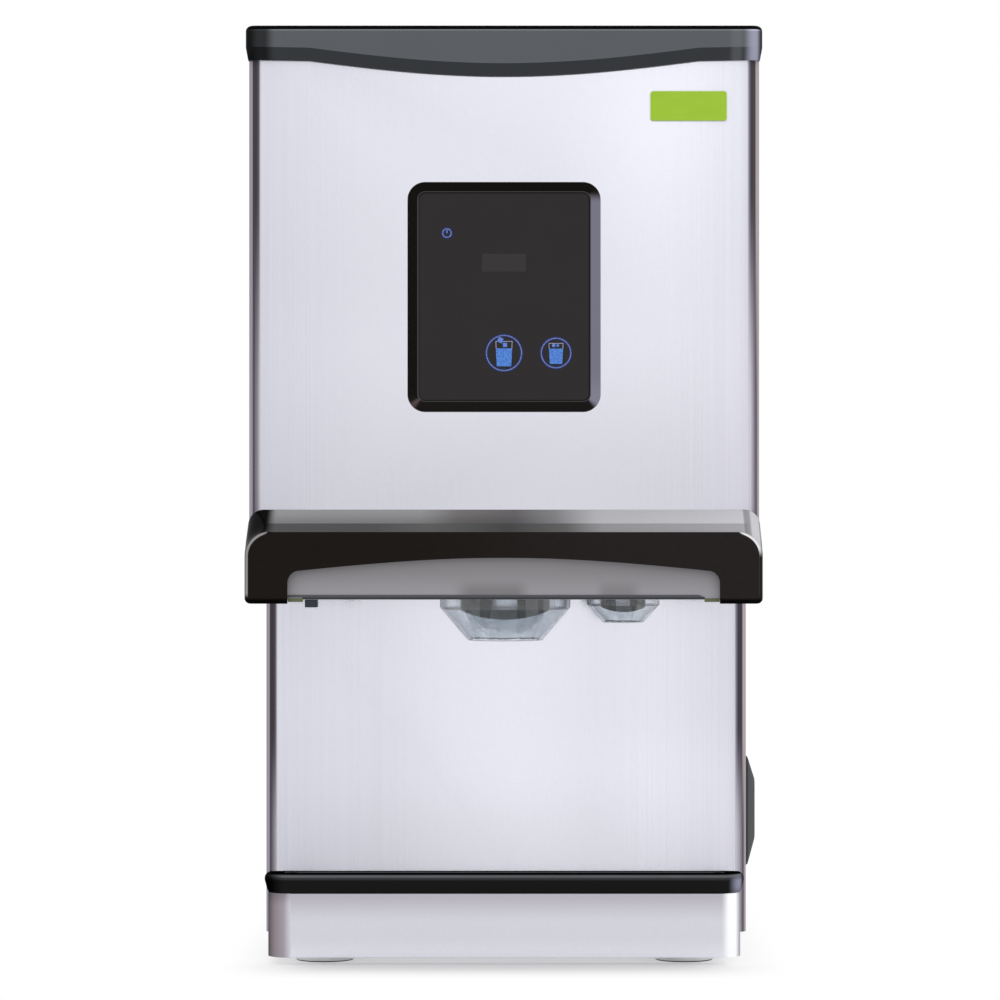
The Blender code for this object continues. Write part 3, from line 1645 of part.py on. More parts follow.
def drip_housing():
    """Steel tray body; its side walls fall towards the wall behind."""
    outside = rim_reach
    inside = rim_reach + base_gauge
    top = base_height - fit_gap
    piece = smooth(skin("drip_housing", steel, [
        base_loop(outside, foot_height, False),
        base_loop(outside, top, True),
        base_loop(inside, top, True),
        base_loop(inside, foot_height + base_gauge, False),
    ]))
    hose_hole = circle(drain_offset, drain_height, hose_radius + hose_hole_gap, small_steps)
    cut(piece, plate_mesh("XZ", hose_hole, base_rear - overrun, base_rear + overrun))
    for side in (-1, 1):
        stud_hole = circle(side * foot_offset, foot_from_front, foot_stud_radius + fit_gap, small_steps)
        cut(piece, plate_mesh("XY", stud_hole, foot_height - overrun, foot_height + overrun))


def drip_rim():
    """Dark moulding on the housing, with an inner ledge that carries the tray."""
    roof = rim_top - rim_channel_roof
    profile = (
        (rim_reach, base_height, True), (0, rim_belly, True), (rim_shoulder_inset, rim_shoulder, True),
        (rim_top_inset, rim_top, True), (rim_width, rim_top, True),
        (rim_inner_inset, rim_top - rim_inner_drop, True), (rim_inner_inset, rim_ledge_top, False),
        (rim_ledge_inset, rim_ledge_top, False), (rim_ledge_inset, rim_ledge_bottom, False),
        (rim_channel_inset, rim_ledge_bottom, False), (rim_channel_inset, roof, True),
        (rim_channel_edge, roof, True), (rim_channel_edge, base_height, True),
    )
    smooth(skin("drip_rim", dark_plastic, [base_loop(*row) for row in profile], closed=True), 25.0)


def drip_tray():
    flange_low = rim_ledge_top + fit_gap
    flange_top = flange_low + tray_flange
    edge = rim_inner_inset + fit_gap
    wall = tray_wall_inset
    foot = tray_wall_inset + tray_taper
    loops = [
        base_loop(foot, tray_floor, False), base_loop(wall, flange_low, False),
        base_loop(edge, flange_low, False), base_loop(edge, flange_top, False),
        base_loop(wall + tray_wall, flange_top, False),
        base_loop(foot + tray_wall, tray_floor + tray_wall, False),
    ]
    piece = smooth(skin("drip_tray", black_plastic, loops))
    drain = circle(drain_offset, hose_start_back, tray_drain_radius, small_steps)
    cut(piece, plate_mesh("XY", drain, tray_floor - overrun, tray_floor + tray_wall + overrun))


def drip_grille():
    """Loose slotted plate that the cups stand on."""
    inset = rim_inner_inset + 2 * fit_gap
    half = base_half_width + rim_reach - inset
    front = base_front - rim_reach + inset
    rear = base_rear - inset + rim_reach
    low = rim_ledge_top + fit_gap + tray_flange + grille_lift
    pitch = grille_bar + grille_slot
    count = int((2 * half - 2 * grille_border + grille_bar) // pitch)
    first = -pitch * (count - 1) / 2
    middle = (front + rear) / 2
    row_length = middle - grille_mid_bar / 2 - front - grille_border
    slots = []
    for row in (front + grille_border + row_length / 2, rear - grille_border - row_length / 2):
        for index in range(count):
            x = first + pitch * index
            slots.append(rectangle(x - grille_slot / 2, row - row_length / 2, x + grille_slot / 2,
                                   row + row_length / 2))
    outline = rounded(-half, front, half, rear, grille_corner, grille_corner)
    plate("drip_grille", steel, "XY", outline, low, low + grille_plate, slots, (0, middle, low))


# Control panel

def control_loop(inset, level):
    corner = max(control_corner - inset, rear_corner)
    half_a = control_half_width - inset
    half_b = control_half_height - inset
    outline = rounded(-half_a, control_centre - half_b, half_a, control_centre + half_b, corner,
                      steps=corner_steps + 1)
    return level_loop(outline, "XZ", level)


def control_bezel():
    """Frame that clips into the front panel, with a bevel that rises to the glass."""
    seat = -fit_gap
    ledge = glass_face + glass_thickness + fit_gap
    lip = control_well + glass_ledge
    loops = [
        control_loop(0, seat), control_loop(0, seat - control_wall),
        control_loop(control_bevel, control_face), control_loop(control_well, control_face),
        control_loop(control_well, ledge), control_loop(lip, ledge),
        control_loop(lip, control_body_depth), control_loop(control_body_inset, control_body_depth),
        control_loop(control_body_inset, seat),
    ]
    smooth(skin("control_bezel", gloss_plastic, loops, closed=True), 25.0)


def touch_glass():
    inset = control_well + glass_gap
    loops = [control_loop(inset, glass_face), control_loop(inset, glass_face + glass_thickness)]
    skin("touch_glass", dark_glass, loops)


def board_level():
    return glass_face + glass_thickness + display_depth + 2 * fit_gap


def control_board():
    inset = control_well + glass_ledge + board_gap
    level = board_level()
    skin("control_board", circuit_green, [control_loop(inset, level),
                                          control_loop(inset, level + board_plate)])


def display_module():
    z = control_centre + display_rise
    outline = rounded(-display_half_width, z - display_half_height, display_half_width,
                      z + display_half_height, board_gap)
    face = glass_face + glass_thickness + fit_gap
    plate("display_module", black_plastic, "XZ", outline, face, face + display_depth)


def badge_plate():
    top = overall_height - badge_top_drop
    outline = rounded(badge_left, top - badge_height, badge_left + badge_width, top, badge_corner)
    plate("badge_plate", badge_green, "XZ", outline, -badge_thickness - fit_gap, -fit_gap)


# Electrical inlet and switch on the rear panel

def inlet_outline(extra):
    """Outline of the body that holds the socket and, above it, the switch."""
    return rounded(inlet_offset - inlet_half_width - extra, inlet_height - inlet_half_height - extra,
                   inlet_offset + inlet_half_width + extra,
                   inlet_height + switch_rise + switch_half_height + extra, inlet_wall)


def power_inlet():
    """Socket for a detachable lead, with its three blades and the frame of the switch."""
    outside = body_depth + fit_gap
    face = outside + inlet_flange_plate
    back = body_depth - inlet_depth
    piece = skin("power_inlet", black_plastic, [
        level_loop(inlet_outline(0), "XZ", back), level_loop(inlet_outline(0), "XZ", outside),
        level_loop(inlet_outline(inlet_flange_reach), "XZ", outside),
        level_loop(inlet_outline(inlet_flange_reach), "XZ", face),
    ])
    well_a = inlet_half_width - inlet_wall
    well_b = inlet_half_height - inlet_wall
    well = rounded(inlet_offset - well_a, inlet_height - well_b, inlet_offset + well_a,
                   inlet_height + well_b, inlet_wall)
    cut(piece, plate_mesh("XZ", well, back + inlet_wall, face + overrun))
    x = inlet_offset
    z = inlet_height + switch_rise
    frame_a = switch_half_width
    frame_b = switch_half_height - inlet_wall
    frame = rounded(x - frame_a, z - frame_b, x + frame_a, z + frame_b, switch_corner)
    cut(piece, plate_mesh("XZ", frame, back + inlet_wall, face + overrun))
    for share in (-1, 0, 1):
        blade_x = inlet_offset + share * well_a / 2
        blade_z = inlet_height + (inlet_wall if share == 0 else -inlet_wall)
        join(piece, box_mesh((blade_x - inlet_wall / 2, back + inlet_wall / 2, blade_z - inlet_wall),
                             (blade_x + inlet_wall / 2, back + inlet_pin_height, blade_z + inlet_wall)))


def rocker_axis():
    return inlet_offset, body_depth - rocker_axis_sunk, inlet_height + switch_rise


def rocker_switch():
    """Rocker that tips about a cross axis in its frame; at rest it is tipped to off."""
    x, y, z = rocker_axis()
    half_a = switch_half_width - fit_gap
    half_b = switch_half_height - inlet_wall - rocker_gap
    proud = body_depth + rocker_proud - y
    outline = [(0, -half_b), (proud, -half_b), (proud - rocker_gap, 0), (proud, half_b), (0, half_b),
               (rocker_gap - rocker_depth, 0)]
    bm = plate_mesh("YZ", [(a + y, b + z) for a, b in outline], x - half_a, x + half_a)
    turn = (Matrix.Translation((x, y, z)) @ Matrix.Rotation(math.radians(-rocker_tilt), 4, "X")
            @ Matrix.Translation((-x, -y, -z)))
    bmesh.ops.transform(bm, matrix=turn, verts=bm.verts)
    add_piece("rocker_switch", bm, black_plastic, rocker_axis())


def side_vent_cover():
    """Faceted cover over the air slots of the right side, with its own slots."""
    start = vent_cover_start
    stop = start + vent_cover_length

    def ring(inset, x):
        outline = rounded(start + inset, vent_cover_bottom + inset, stop - inset, vent_cover_top - inset,
                          vent_cover_corner)
        return level_loop(outline, "YZ", x)

    wall = vent_cover_wall
    piece = skin("side_vent_cover", dark_plastic, [
        ring(0, vent_x), ring(0, vent_x + wall), ring(vent_cover_slope, vent_x + vent_cover_reach),
        ring(vent_cover_slope + wall / 2, vent_x + vent_cover_reach),
    ])
    cut(piece, skin_mesh([ring(2 * wall, vent_x - overrun), ring(2 * wall, vent_x + wall / 2),
                          ring(vent_cover_slope + wall, vent_x + vent_cover_reach - wall)]))
    flat_low = vent_cover_bottom + vent_cover_slope
    flat_high = vent_cover_top - vent_cover_slope
    pitch = (flat_high - flat_low) / vent_cover_slots
    length = vent_cover_length - 2 * vent_cover_slope - 2 * vent_cover_slot_end
    for index in range(vent_cover_slots):
        hole = slot((start + stop) / 2, flat_low + pitch * (index + 0.5), length, vent_cover_slot_height)
        cut(piece, plate_mesh("YZ", hole, vent_x + vent_cover_reach - 2 * wall,
                              vent_x + vent_cover_reach + overrun))


def feet():
    """Pads with a stud that ends level with the sheet it is pushed into."""
    front_y = foot_from_front
    rear_y = rear_inside - foot_from_rear
    pad_top = foot_height - fit_gap
    profile = [(0, 0), (foot_radius - fit_gap, 0), (foot_radius, fit_gap), (foot_radius, pad_top),
               (foot_stud_radius, pad_top), (foot_stud_radius, pan_top), (0, pan_top)]
    for end, y in (("front", front_y), ("rear", rear_y)):
        for side_name, side in (("left", -1), ("right", 1)):
            turned(f"foot_{end}_{side_name}", black_rubber, profile, centre=(side * foot_offset, y, 0),
                   steps=round_steps)


clear_scene()
machine_frame = bpy.data.objects.new("machine_frame", None)
bpy.context.collection.objects.link(machine_frame)
machine_frame.location = (-middle_x, -middle_y, 0)

guide_finish = finish("guide", (0.8, 0.2, 0.2), 0.5)
steel = finish("brushed_steel", (0.80, 0.80, 0.84), 0.30, 1.0)
galvanised = finish("galvanised_sheet", (0.62, 0.64, 0.66), 0.45, 1.0)
dark_plastic = finish("dark_grey_plastic", (0.055, 0.060, 0.065), 0.42)
gloss_plastic = finish("gloss_black_plastic", (0.012, 0.011, 0.010), 0.16)
grey_plastic = finish("grey_plastic", (0.27, 0.27, 0.29), 0.45)
black_plastic = finish("black_plastic", (0.02, 0.02, 0.022), 0.5)
white_plastic = finish("white_plastic", (0.82, 0.83, 0.84), 0.4)
clear_plastic = finish("smoky_clear_plastic", (0.55, 0.62, 0.64), 0.08, 0.0, 0.4)
dark_glass = finish("dark_glass", (0.03, 0.028, 0.029), 0.06)
aluminium = finish("cast_aluminium", (0.66, 0.67, 0.68), 0.5, 1.0)
copper = finish("copper", (0.72, 0.38, 0.24), 0.3, 1.0)
brass = finish("brass", (0.70, 0.55, 0.25), 0.35, 1.0)
foam = finish("insulation_foam", (0.05, 0.05, 0.055), 0.9)
black_paint = finish("black_paint", (0.015, 0.015, 0.017), 0.35)
black_rubber = finish("black_rubber", (0.02, 0.02, 0.02), 0.8)
circuit_green = finish("circuit_board", (0.02, 0.16, 0.07), 0.5)
badge_green = finish("green_badge", (0.33, 0.57, 0.04), 0.35)

for make in (base_pan, side_panels, rear_panel, upper_front_panel, splash_panel, middle_deck, top_cap,
             visor, nozzle_cover, ice_nozzle, water_nozzle, ice_chute, chute_flap, flap_solenoid,
             solenoid_plunger, water_spout, water_line, ice_bin, bin_lid, bin_agitator,
             agitator_motor, evaporator_tube, insulation_jacket, ice_transfer_tube, extruder_head,
             ice_auger, auger_gear, motor_pinion, gearbox_housing, gear_motor, compressor, condenser,
             fan_shroud, fan_rotor, fan_motor, discharge_pipe, suction_pipe, water_reservoir,
             reservoir_float, electrical_box, inlet_valve, drain_fitting, drain_hose, drip_housing,
             drip_rim, drip_tray, drip_grille, control_bezel, touch_glass, control_board,
             display_module, badge_plate, power_inlet, rocker_switch, side_vent_cover, feet):
    make()
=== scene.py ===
"""Finish and fine surface of the countertop ice and water dispenser.

Shapes are drawn in the machine's own frame and moved into the model's frame when a piece is done:
X to the right, Y from the face of the front panel to the back, Z up from the counter.
Lengths are in metres and angles in degrees.
"""
import json
import math

import bmesh
import bpy
from mathutils import Matrix, Vector
from mathutils.geometry import tessellate_polygon

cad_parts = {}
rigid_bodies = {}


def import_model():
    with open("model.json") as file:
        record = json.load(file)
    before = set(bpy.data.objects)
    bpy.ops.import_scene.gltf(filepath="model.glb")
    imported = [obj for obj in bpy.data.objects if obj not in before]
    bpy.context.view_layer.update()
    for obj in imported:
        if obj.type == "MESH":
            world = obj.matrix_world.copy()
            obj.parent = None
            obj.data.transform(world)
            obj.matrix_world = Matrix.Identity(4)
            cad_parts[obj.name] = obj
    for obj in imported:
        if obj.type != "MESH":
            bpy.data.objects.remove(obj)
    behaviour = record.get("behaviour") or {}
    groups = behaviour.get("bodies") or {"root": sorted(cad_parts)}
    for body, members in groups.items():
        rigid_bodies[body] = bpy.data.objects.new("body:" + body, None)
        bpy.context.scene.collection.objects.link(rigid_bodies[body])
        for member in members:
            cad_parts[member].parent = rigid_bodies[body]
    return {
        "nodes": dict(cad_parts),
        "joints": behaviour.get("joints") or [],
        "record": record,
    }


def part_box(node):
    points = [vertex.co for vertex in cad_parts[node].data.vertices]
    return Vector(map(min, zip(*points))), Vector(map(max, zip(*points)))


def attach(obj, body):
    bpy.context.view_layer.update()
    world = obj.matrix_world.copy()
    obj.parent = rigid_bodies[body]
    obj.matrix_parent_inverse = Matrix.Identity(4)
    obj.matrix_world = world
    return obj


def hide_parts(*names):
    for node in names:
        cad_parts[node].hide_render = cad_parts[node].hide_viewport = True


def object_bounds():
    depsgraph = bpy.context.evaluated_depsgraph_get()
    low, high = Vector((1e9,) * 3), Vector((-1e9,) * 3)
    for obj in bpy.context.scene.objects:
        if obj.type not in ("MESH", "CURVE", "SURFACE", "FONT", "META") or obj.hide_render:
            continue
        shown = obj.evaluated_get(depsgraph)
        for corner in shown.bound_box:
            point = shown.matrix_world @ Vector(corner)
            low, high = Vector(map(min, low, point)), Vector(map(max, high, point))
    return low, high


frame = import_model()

cad_low, cad_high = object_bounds()

# The machine's own frame, read from the front panel of the model
panel_low, panel_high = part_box("upper_front_panel")
half_body = (panel_high.x - panel_low.x) / 2
shift = Vector((panel_low.x + half_body, panel_low.y, 0))


def place_of(node):
    """Lowest and highest corner of a model node, in the machine's own frame."""
    low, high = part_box(node)
    return low - shift, high - shift


# Surfaces

class Signal:
    """A value that varies over a surface. Sums written on it become Math nodes."""

    def __init__(self, recipe, socket):
        self.recipe = recipe
        self.socket = socket

    def math(self, operation, first, second=0.0):
        return self.recipe.add("ShaderNodeMath", {"operation": operation}, {0: first, 1: second})

    def __add__(self, other):
        return self.math("ADD", self, other)

    def __sub__(self, other):
        return self.math("SUBTRACT", self, other)

    def __rsub__(self, other):
        return self.math("SUBTRACT", other, self)

    def __neg__(self):
        return self.math("SUBTRACT", 0.0, self)

    def __mul__(self, other):
        return self.math("MULTIPLY", self, other)

    def __truediv__(self, other):
        return self.math("DIVIDE", self, other)

    def __abs__(self):
        return self.math("ABSOLUTE", self)

    __radd__ = __add__
    __rmul__ = __mul__

    def fade(self, low, high):
        """A soft step from 0 at low to 1 at high."""
        settings = {"interpolation_type": "SMOOTHSTEP"}
        inputs = {"Value": self, "From Min": low, "From Max": high}
        return self.recipe.add("ShaderNodeMapRange", settings, inputs)

    def fade_out(self, low, high):
        """A soft step from 1 at low to 0 at high."""
        return 1.0 - self.fade(low, high)

    def between(self, low, full, past, gone):
        """1 from full to past, with soft steps on both sides."""
        return self.fade(low, full) * self.fade_out(past, gone)


class Recipe:
    """The node tree of one surface or of the studio."""

    def __init__(self, tree):
        self.tree = tree

    def add(self, kind, settings=None, inputs=None, output=0):
        """Add a node: settings first, then the values or links of its sockets."""
        node = self.tree.nodes.new(kind)
        for key, value in (settings or {}).items():
            if key == "stops":
                self.set_stops(node.color_ramp, value)
            else:
                setattr(node, key, value)
        for key, value in (inputs or {}).items():
            self.feed(node.inputs[key], value)
        return Signal(self, node.outputs[output])

    def set_stops(self, ramp, stops):
        while len(ramp.elements) < len(stops):
            ramp.elements.new(1.0)
        for element, (position, colour) in zip(ramp.elements, stops):
            element.position = position
            element.color = (*colour, 1.0)

    def feed(self, socket, value):
        if isinstance(value, Signal):
            self.tree.links.new(value.socket, socket)
        elif socket.type == "RGBA":
            socket.default_value = (*value, 1.0)
        else:
            socket.default_value = value

    def spot(self):
        """The point on the piece, in metres, which moves with the piece."""
        return self.add("ShaderNodeTexCoord", output="Object")

    def part_of(self, vector, axis):
        return self.add("ShaderNodeSeparateXYZ", inputs={0: vector}, output=axis)

    def place(self, axis):
        """How far along one of the machine's axes the point is, in metres."""
        return self.part_of(self.spot(), axis) - shift[axis]

    def way(self):
        """The surface's own direction."""
        return self.add("ShaderNodeNewGeometry", output="Normal")

    def facing(self, axis):
        return self.part_of(self.way(), axis)

    def stretched(self, density):
        """The spot, spread to so many marks in a metre, in all or in each of the three ways."""
        stretch = density if isinstance(density, tuple) else (density,) * 3
        return self.add("ShaderNodeVectorMath", {"operation": "MULTIPLY"}, {0: self.spot(), 1: stretch})

    def noise(self, density, detail=2.0, roughness=0.5):
        """Soft random marks."""
        inputs = {"Vector": self.stretched(density), "Scale": 1.0, "Detail": detail,
                  "Roughness": roughness}
        return self.add("ShaderNodeTexNoise", inputs=inputs)

    def cells(self, density, output="Distance"):
        return self.add("ShaderNodeTexVoronoi", {"feature": "F1"},
                        {"Vector": self.stretched(density), "Scale": 1.0}, output)

    def blend(self, share, first, second):
        """One colour over into another."""
        return self.add("ShaderNodeMix", {"data_type": "RGBA"}, {0: share, 6: first, 7: second}, 2)

    def layered(self, tone, *coats):
        """A tone under coats, each with its share and its colour."""
        for share, colour in coats:
            tone = self.blend(share, tone, colour)
        return tone

    def scaled(self, colour, share):
        return self.add("ShaderNodeVectorMath", {"operation": "SCALE"}, {0: colour, "Scale": share})

    def ramp(self, share, stops):
        """A colour that follows its stops."""
        return self.add("ShaderNodeValToRGB", {"stops": stops}, {0: share})


class Finish(Recipe):
    """One finish: a Principled shader with what is added to its node tree."""

    def __init__(self, name, **fixed):
        self.material = bpy.data.materials.new(name)
        self.material.use_nodes = True
        super().__init__(self.material.node_tree)
        self.shader = self.tree.nodes["Principled BSDF"]
        for key, value in fixed.items():
            self.set(key.replace("_", " ").title().replace("Ior", "IOR"), value)

    def set(self, socket, value):
        self.feed(self.shader.inputs[socket], value)

    def surface(self, tone, roughness, *relief):
        """Set the colour, the roughness and, where given, the bumps. Gives the material."""
        self.set("Base Color", tone)
        self.set("Roughness", roughness)
        if relief:
            self.relief(*relief)
        return self.material

    def relief(self, height, depth, strength, lean=None):
        """Bumps of a real depth in metres, on a surface that may lean back a little."""
        inputs = {"Height": height, "Distance": depth, "Strength": strength}
        if lean is not None:
            rise = self.add("ShaderNodeCombineXYZ", inputs={2: lean})
            tipped = self.add("ShaderNodeVectorMath", {"operation": "ADD"}, {0: self.way(), 1: rise})
            inputs["Normal"] = self.add("ShaderNodeVectorMath", {"operation": "NORMALIZE"}, {0: tipped})
        self.set("Normal", self.add("ShaderNodeBump", inputs=inputs))


# Steel and other metal

def brushed_steel(name, roughness=0.15):
    """Sheet with a fine level grain; its tone and grain are kept for what is drawn on it."""
    made = Finish(name, metallic=1.0, anisotropic=0.2, specular_ior_level=0.0)
    grain = made.noise((60, 60, 1100), 4.0, 0.6)
    fleck = made.noise((800, 800, 900)).fade(0.32, 0.68)
    cloud = made.noise((4, 4, 3), 3.0)
    wear = grain * 0.3 + fleck * 0.35 + cloud * 0.35
    made.tone = made.blend(wear, (0.765, 0.765, 0.845), (0.83, 0.83, 0.913))
    made.fibre = grain + fleck
    made.surface(made.tone, roughness + grain * 0.05 + cloud * 0.04, made.fibre, 0.000012, 0.5)
    return made


def bends(made, light, crisp):
    """Painted light on a front sheet, with painted reflections and shade across its upright bends, which
    crisp sharpens.
    """
    side = made.facing(0)
    left = -side
    # Painted reflections and shade across each bend, soft and crisp, on the left and on the right
    soft_left_reflection = made.ramp(left, (
        (0.04, (0.60, 0.60, 0.68)), (0.20, (0.32, 0.30, 0.33)), (0.60, (0.06, 0.05, 0.07)),
        (0.75, (0.33, 0.31, 0.36)), (1.0, (0.29, 0.27, 0.31))))
    crisp_left_reflection = made.ramp(left, (
        (0.04, (0.60, 0.60, 0.68)), (0.15, (0.12, 0.11, 0.13)), (0.30, (0.06, 0.05, 0.06)),
        (0.64, (0.06, 0.05, 0.06)), (0.72, (0.34, 0.31, 0.37)), (1.0, (0.26, 0.24, 0.30))))
    soft_right_reflection = made.ramp(side, (
        (0.0, (0.67, 0.66, 0.74)), (0.25, (0.56, 0.53, 0.62)), (0.50, (0.28, 0.26, 0.31)),
        (0.72, (0.09, 0.07, 0.09)), (0.88, (0.38, 0.34, 0.36))))
    crisp_right_reflection = made.ramp(side, (
        (0.0, (0.64, 0.63, 0.71)), (0.15, (0.20, 0.20, 0.25)), (0.30, (0.06, 0.05, 0.07)),
        (0.65, (0.07, 0.06, 0.06)), (0.70, (0.40, 0.35, 0.37))))
    streak = made.noise((900, 900, 3)).fade(0.3, 0.7) * 0.16 + 0.92
    # Painted light scales the sheet's tone
    tone = made.scaled(made.tone, light)
    # Painted shade on the flat just before the right bend
    tone = made.blend(made.place(0).fade(0.1735, 0.1800) * 0.25, tone, (0.5, 0.49, 0.57))
    metal = 1.0
    # Where a bend is painted it is no longer metal, so the painted reflections stand in for real ones
    for turn, soft, sharp in ((left, soft_left_reflection, crisp_left_reflection), (side, soft_right_reflection, crisp_right_reflection)):
        near = turn.fade(0.0, 0.07) * turn.fade_out(0.994, 0.9995)
        tone = made.blend(near, tone, made.scaled(made.blend(crisp, soft, sharp), streak))
        metal = metal - near
    made.set("Metallic", metal)
    made.set("Base Color", tone)
    return made.material


def front_steel():
    """Front sheet with painted light: brighter towards its top and, high up, its right; duller above the
    visor.
    """
    made = brushed_steel("front_steel", 0.12)
    height = made.place(2)
    # Painted light over the sheet
    light = 0.86 + 0.14 * height.fade(0.335, 0.47) + 0.13 * height.fade(0.49, 0.67)
    high = height.fade(0.33, 0.62)
    right = made.place(0).fade(0.02, 0.15)
    light = light * (0.965 - 0.05 * high + right * (0.19 * high - 0.04))
    return bends(made, light, height.fade(0.40, 0.58))


def splash_steel():
    """Wall above the drip base, which leans back a little at its foot, with painted light: darker low,
    brighter at the sides.
    """
    made = brushed_steel("splash_steel", 0.08)
    height = made.place(2)
    across = made.place(0)
    # Painted light over the wall
    light = 0.87 + 0.14 * height.fade(0.05, 0.14)
    light = light * (1.0 + 0.16 * across.fade(0.06, 0.14) + 0.09 * (-across).fade(0.09, 0.15))
    made.relief(made.fibre, 0.000012, 0.5, 0.1 * height.fade_out(0.09, 0.19))
    return bends(made, light, height.fade(0.075, 0.17))


def base_steel():
    """Drip base: painted shade under the rim and on its left corner, painted light low down, a painted
    highlight on its right corner.
    """
    made = brushed_steel("base_steel", 0.2)
    across = made.place(0)
    height = made.place(2)
    # Painted shade under the rim and painted light towards the floor
    shade = height.fade(0.030, 0.053)
    light = 0.82 - 0.24 * shade + 0.17 * height.fade_out(0.0, 0.021)
    tone = made.scaled(made.blend(shade, made.tone, (0.82, 0.785, 0.88)), light)
    # Painted shade and reflections across the left corner, which stand in for the metal there
    left = (-across - 0.157) / 0.018
    painted_left_shade = made.ramp(left, (
        (0.05, (0.60, 0.59, 0.67)), (0.30, (0.36, 0.32, 0.36)), (0.70, (0.25, 0.21, 0.24)),
        (0.95, (0.10, 0.09, 0.10))))
    wall = abs(made.facing(0)).fade_out(0.99, 0.9998)
    left_shade_share = left.fade(0.0, 0.06) * wall
    right_highlight_share = across.fade(0.1595, 0.1665) * wall
    # Painted highlight on the right corner, darker at its very edge
    painted_right_highlight = made.blend(across.fade(0.1705, 0.1748), (0.97, 0.98, 1.0), (0.36, 0.35, 0.39))
    # The painted left shade deepens under the rim
    painted_left_shade = made.scaled(painted_left_shade, 1.0 - 0.3 * height.fade(0.042, 0.053))
    made.set("Base Color", made.layered(tone, (left_shade_share, painted_left_shade), (right_highlight_share, painted_right_highlight)))
    made.set("Metallic", 1.0 - left_shade_share - right_highlight_share)
    return made.material


def worked(name, marks, cloud, shades, roughness, bumps, **fixed):
    """Soft clouds between two shades, and fine marks that roughen the surface and stand out of it."""
    made = Finish(name, **fixed)
    fine = made.noise(*marks)
    least, spread = roughness
    return made.surface(made.blend(made.noise(cloud, 3.0), *shades), least + fine * spread, fine, *bumps)


def galvanised_sheet():
    made = Finish("galvanised_sheet", metallic=1.0)
    spangle = made.part_of(made.cells(110, "Color"), 0)
    grain = made.noise(600)
    return made.surface(made.blend(spangle, (0.5, 0.52, 0.54), (0.72, 0.74, 0.76)),
                        0.34 + spangle * 0.16 + grain * 0.08, grain, 0.00002, 0.3)


def drawn_copper():
    made = Finish("drawn_copper", metallic=1.0)
    tarnish = made.noise(50, 4.0)
    lines = made.noise((300, 300, 1200))
    return made.surface(made.blend(tarnish.fade(0.35, 0.75), (0.78, 0.42, 0.28), (0.42, 0.2, 0.13)),
                        0.2 + tarnish * 0.2 + lines * 0.06, lines, 0.00003, 0.4)


# Plastic

def moulding(name, colour, roughness, **fixed):
    """A plastic moulding with a spark-eroded grain and a little unevenness in its tone."""
    made = Finish(name, **fixed)
    grain = made.noise(1500)
    cloud = made.noise(16, 3.0)
    dark, light = (tuple(part * share for part in colour) for share in (0.84, 1.16))
    made.surface(made.blend(cloud * 0.7 + grain * 0.3, dark, light),
                 roughness - 0.05 + cloud * 0.06 + grain * 0.05, grain, 0.00004, 0.5)
    return made


def cap_moulding():
    """Grained cap with painted light: lighter front band, darker undercut, painted shade on the rolled top
    edge and left end, painted highlights below that edge and at the right end.
    """
    made = Finish("cap_moulding", specular_ior_level=0.03)
    grain = made.noise(1500)
    cloud = made.noise(14, 3.0)
    up = made.facing(2)
    across = made.place(0)
    share = grain * 0.5 + cloud * 0.5
    # Painted light: the front band lit lighter, the downward undercut painted darker, and at the right end a
    # faint painted lift, a painted highlight and a painted dark outline
    tone = made.layered(
        made.blend(share, (0.094, 0.101, 0.109), (0.108, 0.116, 0.126)),
        ((-up).fade(0.08, 0.5), made.blend(share, (0.033, 0.036, 0.040), (0.039, 0.042, 0.047))),
        (across.between(0.165, 0.170, 0.1735, 0.177) * 0.25, (0.20, 0.205, 0.22)),
        (across.fade(0.1755, 0.1838) * 0.97, (0.32, 0.325, 0.42)),
        (across.fade(0.1856, 0.1893) * 0.97, (0.02, 0.021, 0.028)))
    left = -across
    # fall: painted shade towards the left end
    fall = (1.0 - 0.74 * left.fade(0.1680, 0.1765)) * (1.0 - 0.8 * left.fade(0.180, 0.1885))
    tone = made.scaled(tone, fall)
    roof = made.blend(share, (0.024, 0.026, 0.029), (0.034, 0.037, 0.041))
    # Painted shade on the rolled top edge, near black, giving way to the flat top's own dark tone
    black = made.blend(up.fade(0.97, 0.999), (0.0008, 0.0008, 0.0012), roof)
    # A painted highlight line just under the rolled edge, then the painted shade of that edge
    tone = made.layered(tone, (up.between(0.02, 0.07, 0.13, 0.2), made.scaled(tone, 2.0)),
                        (up.fade(0.17, 0.27), black))
    return made.surface(tone, 0.42 + cloud * 0.06 + grain * 0.05, grain, 0.00004, 0.5)


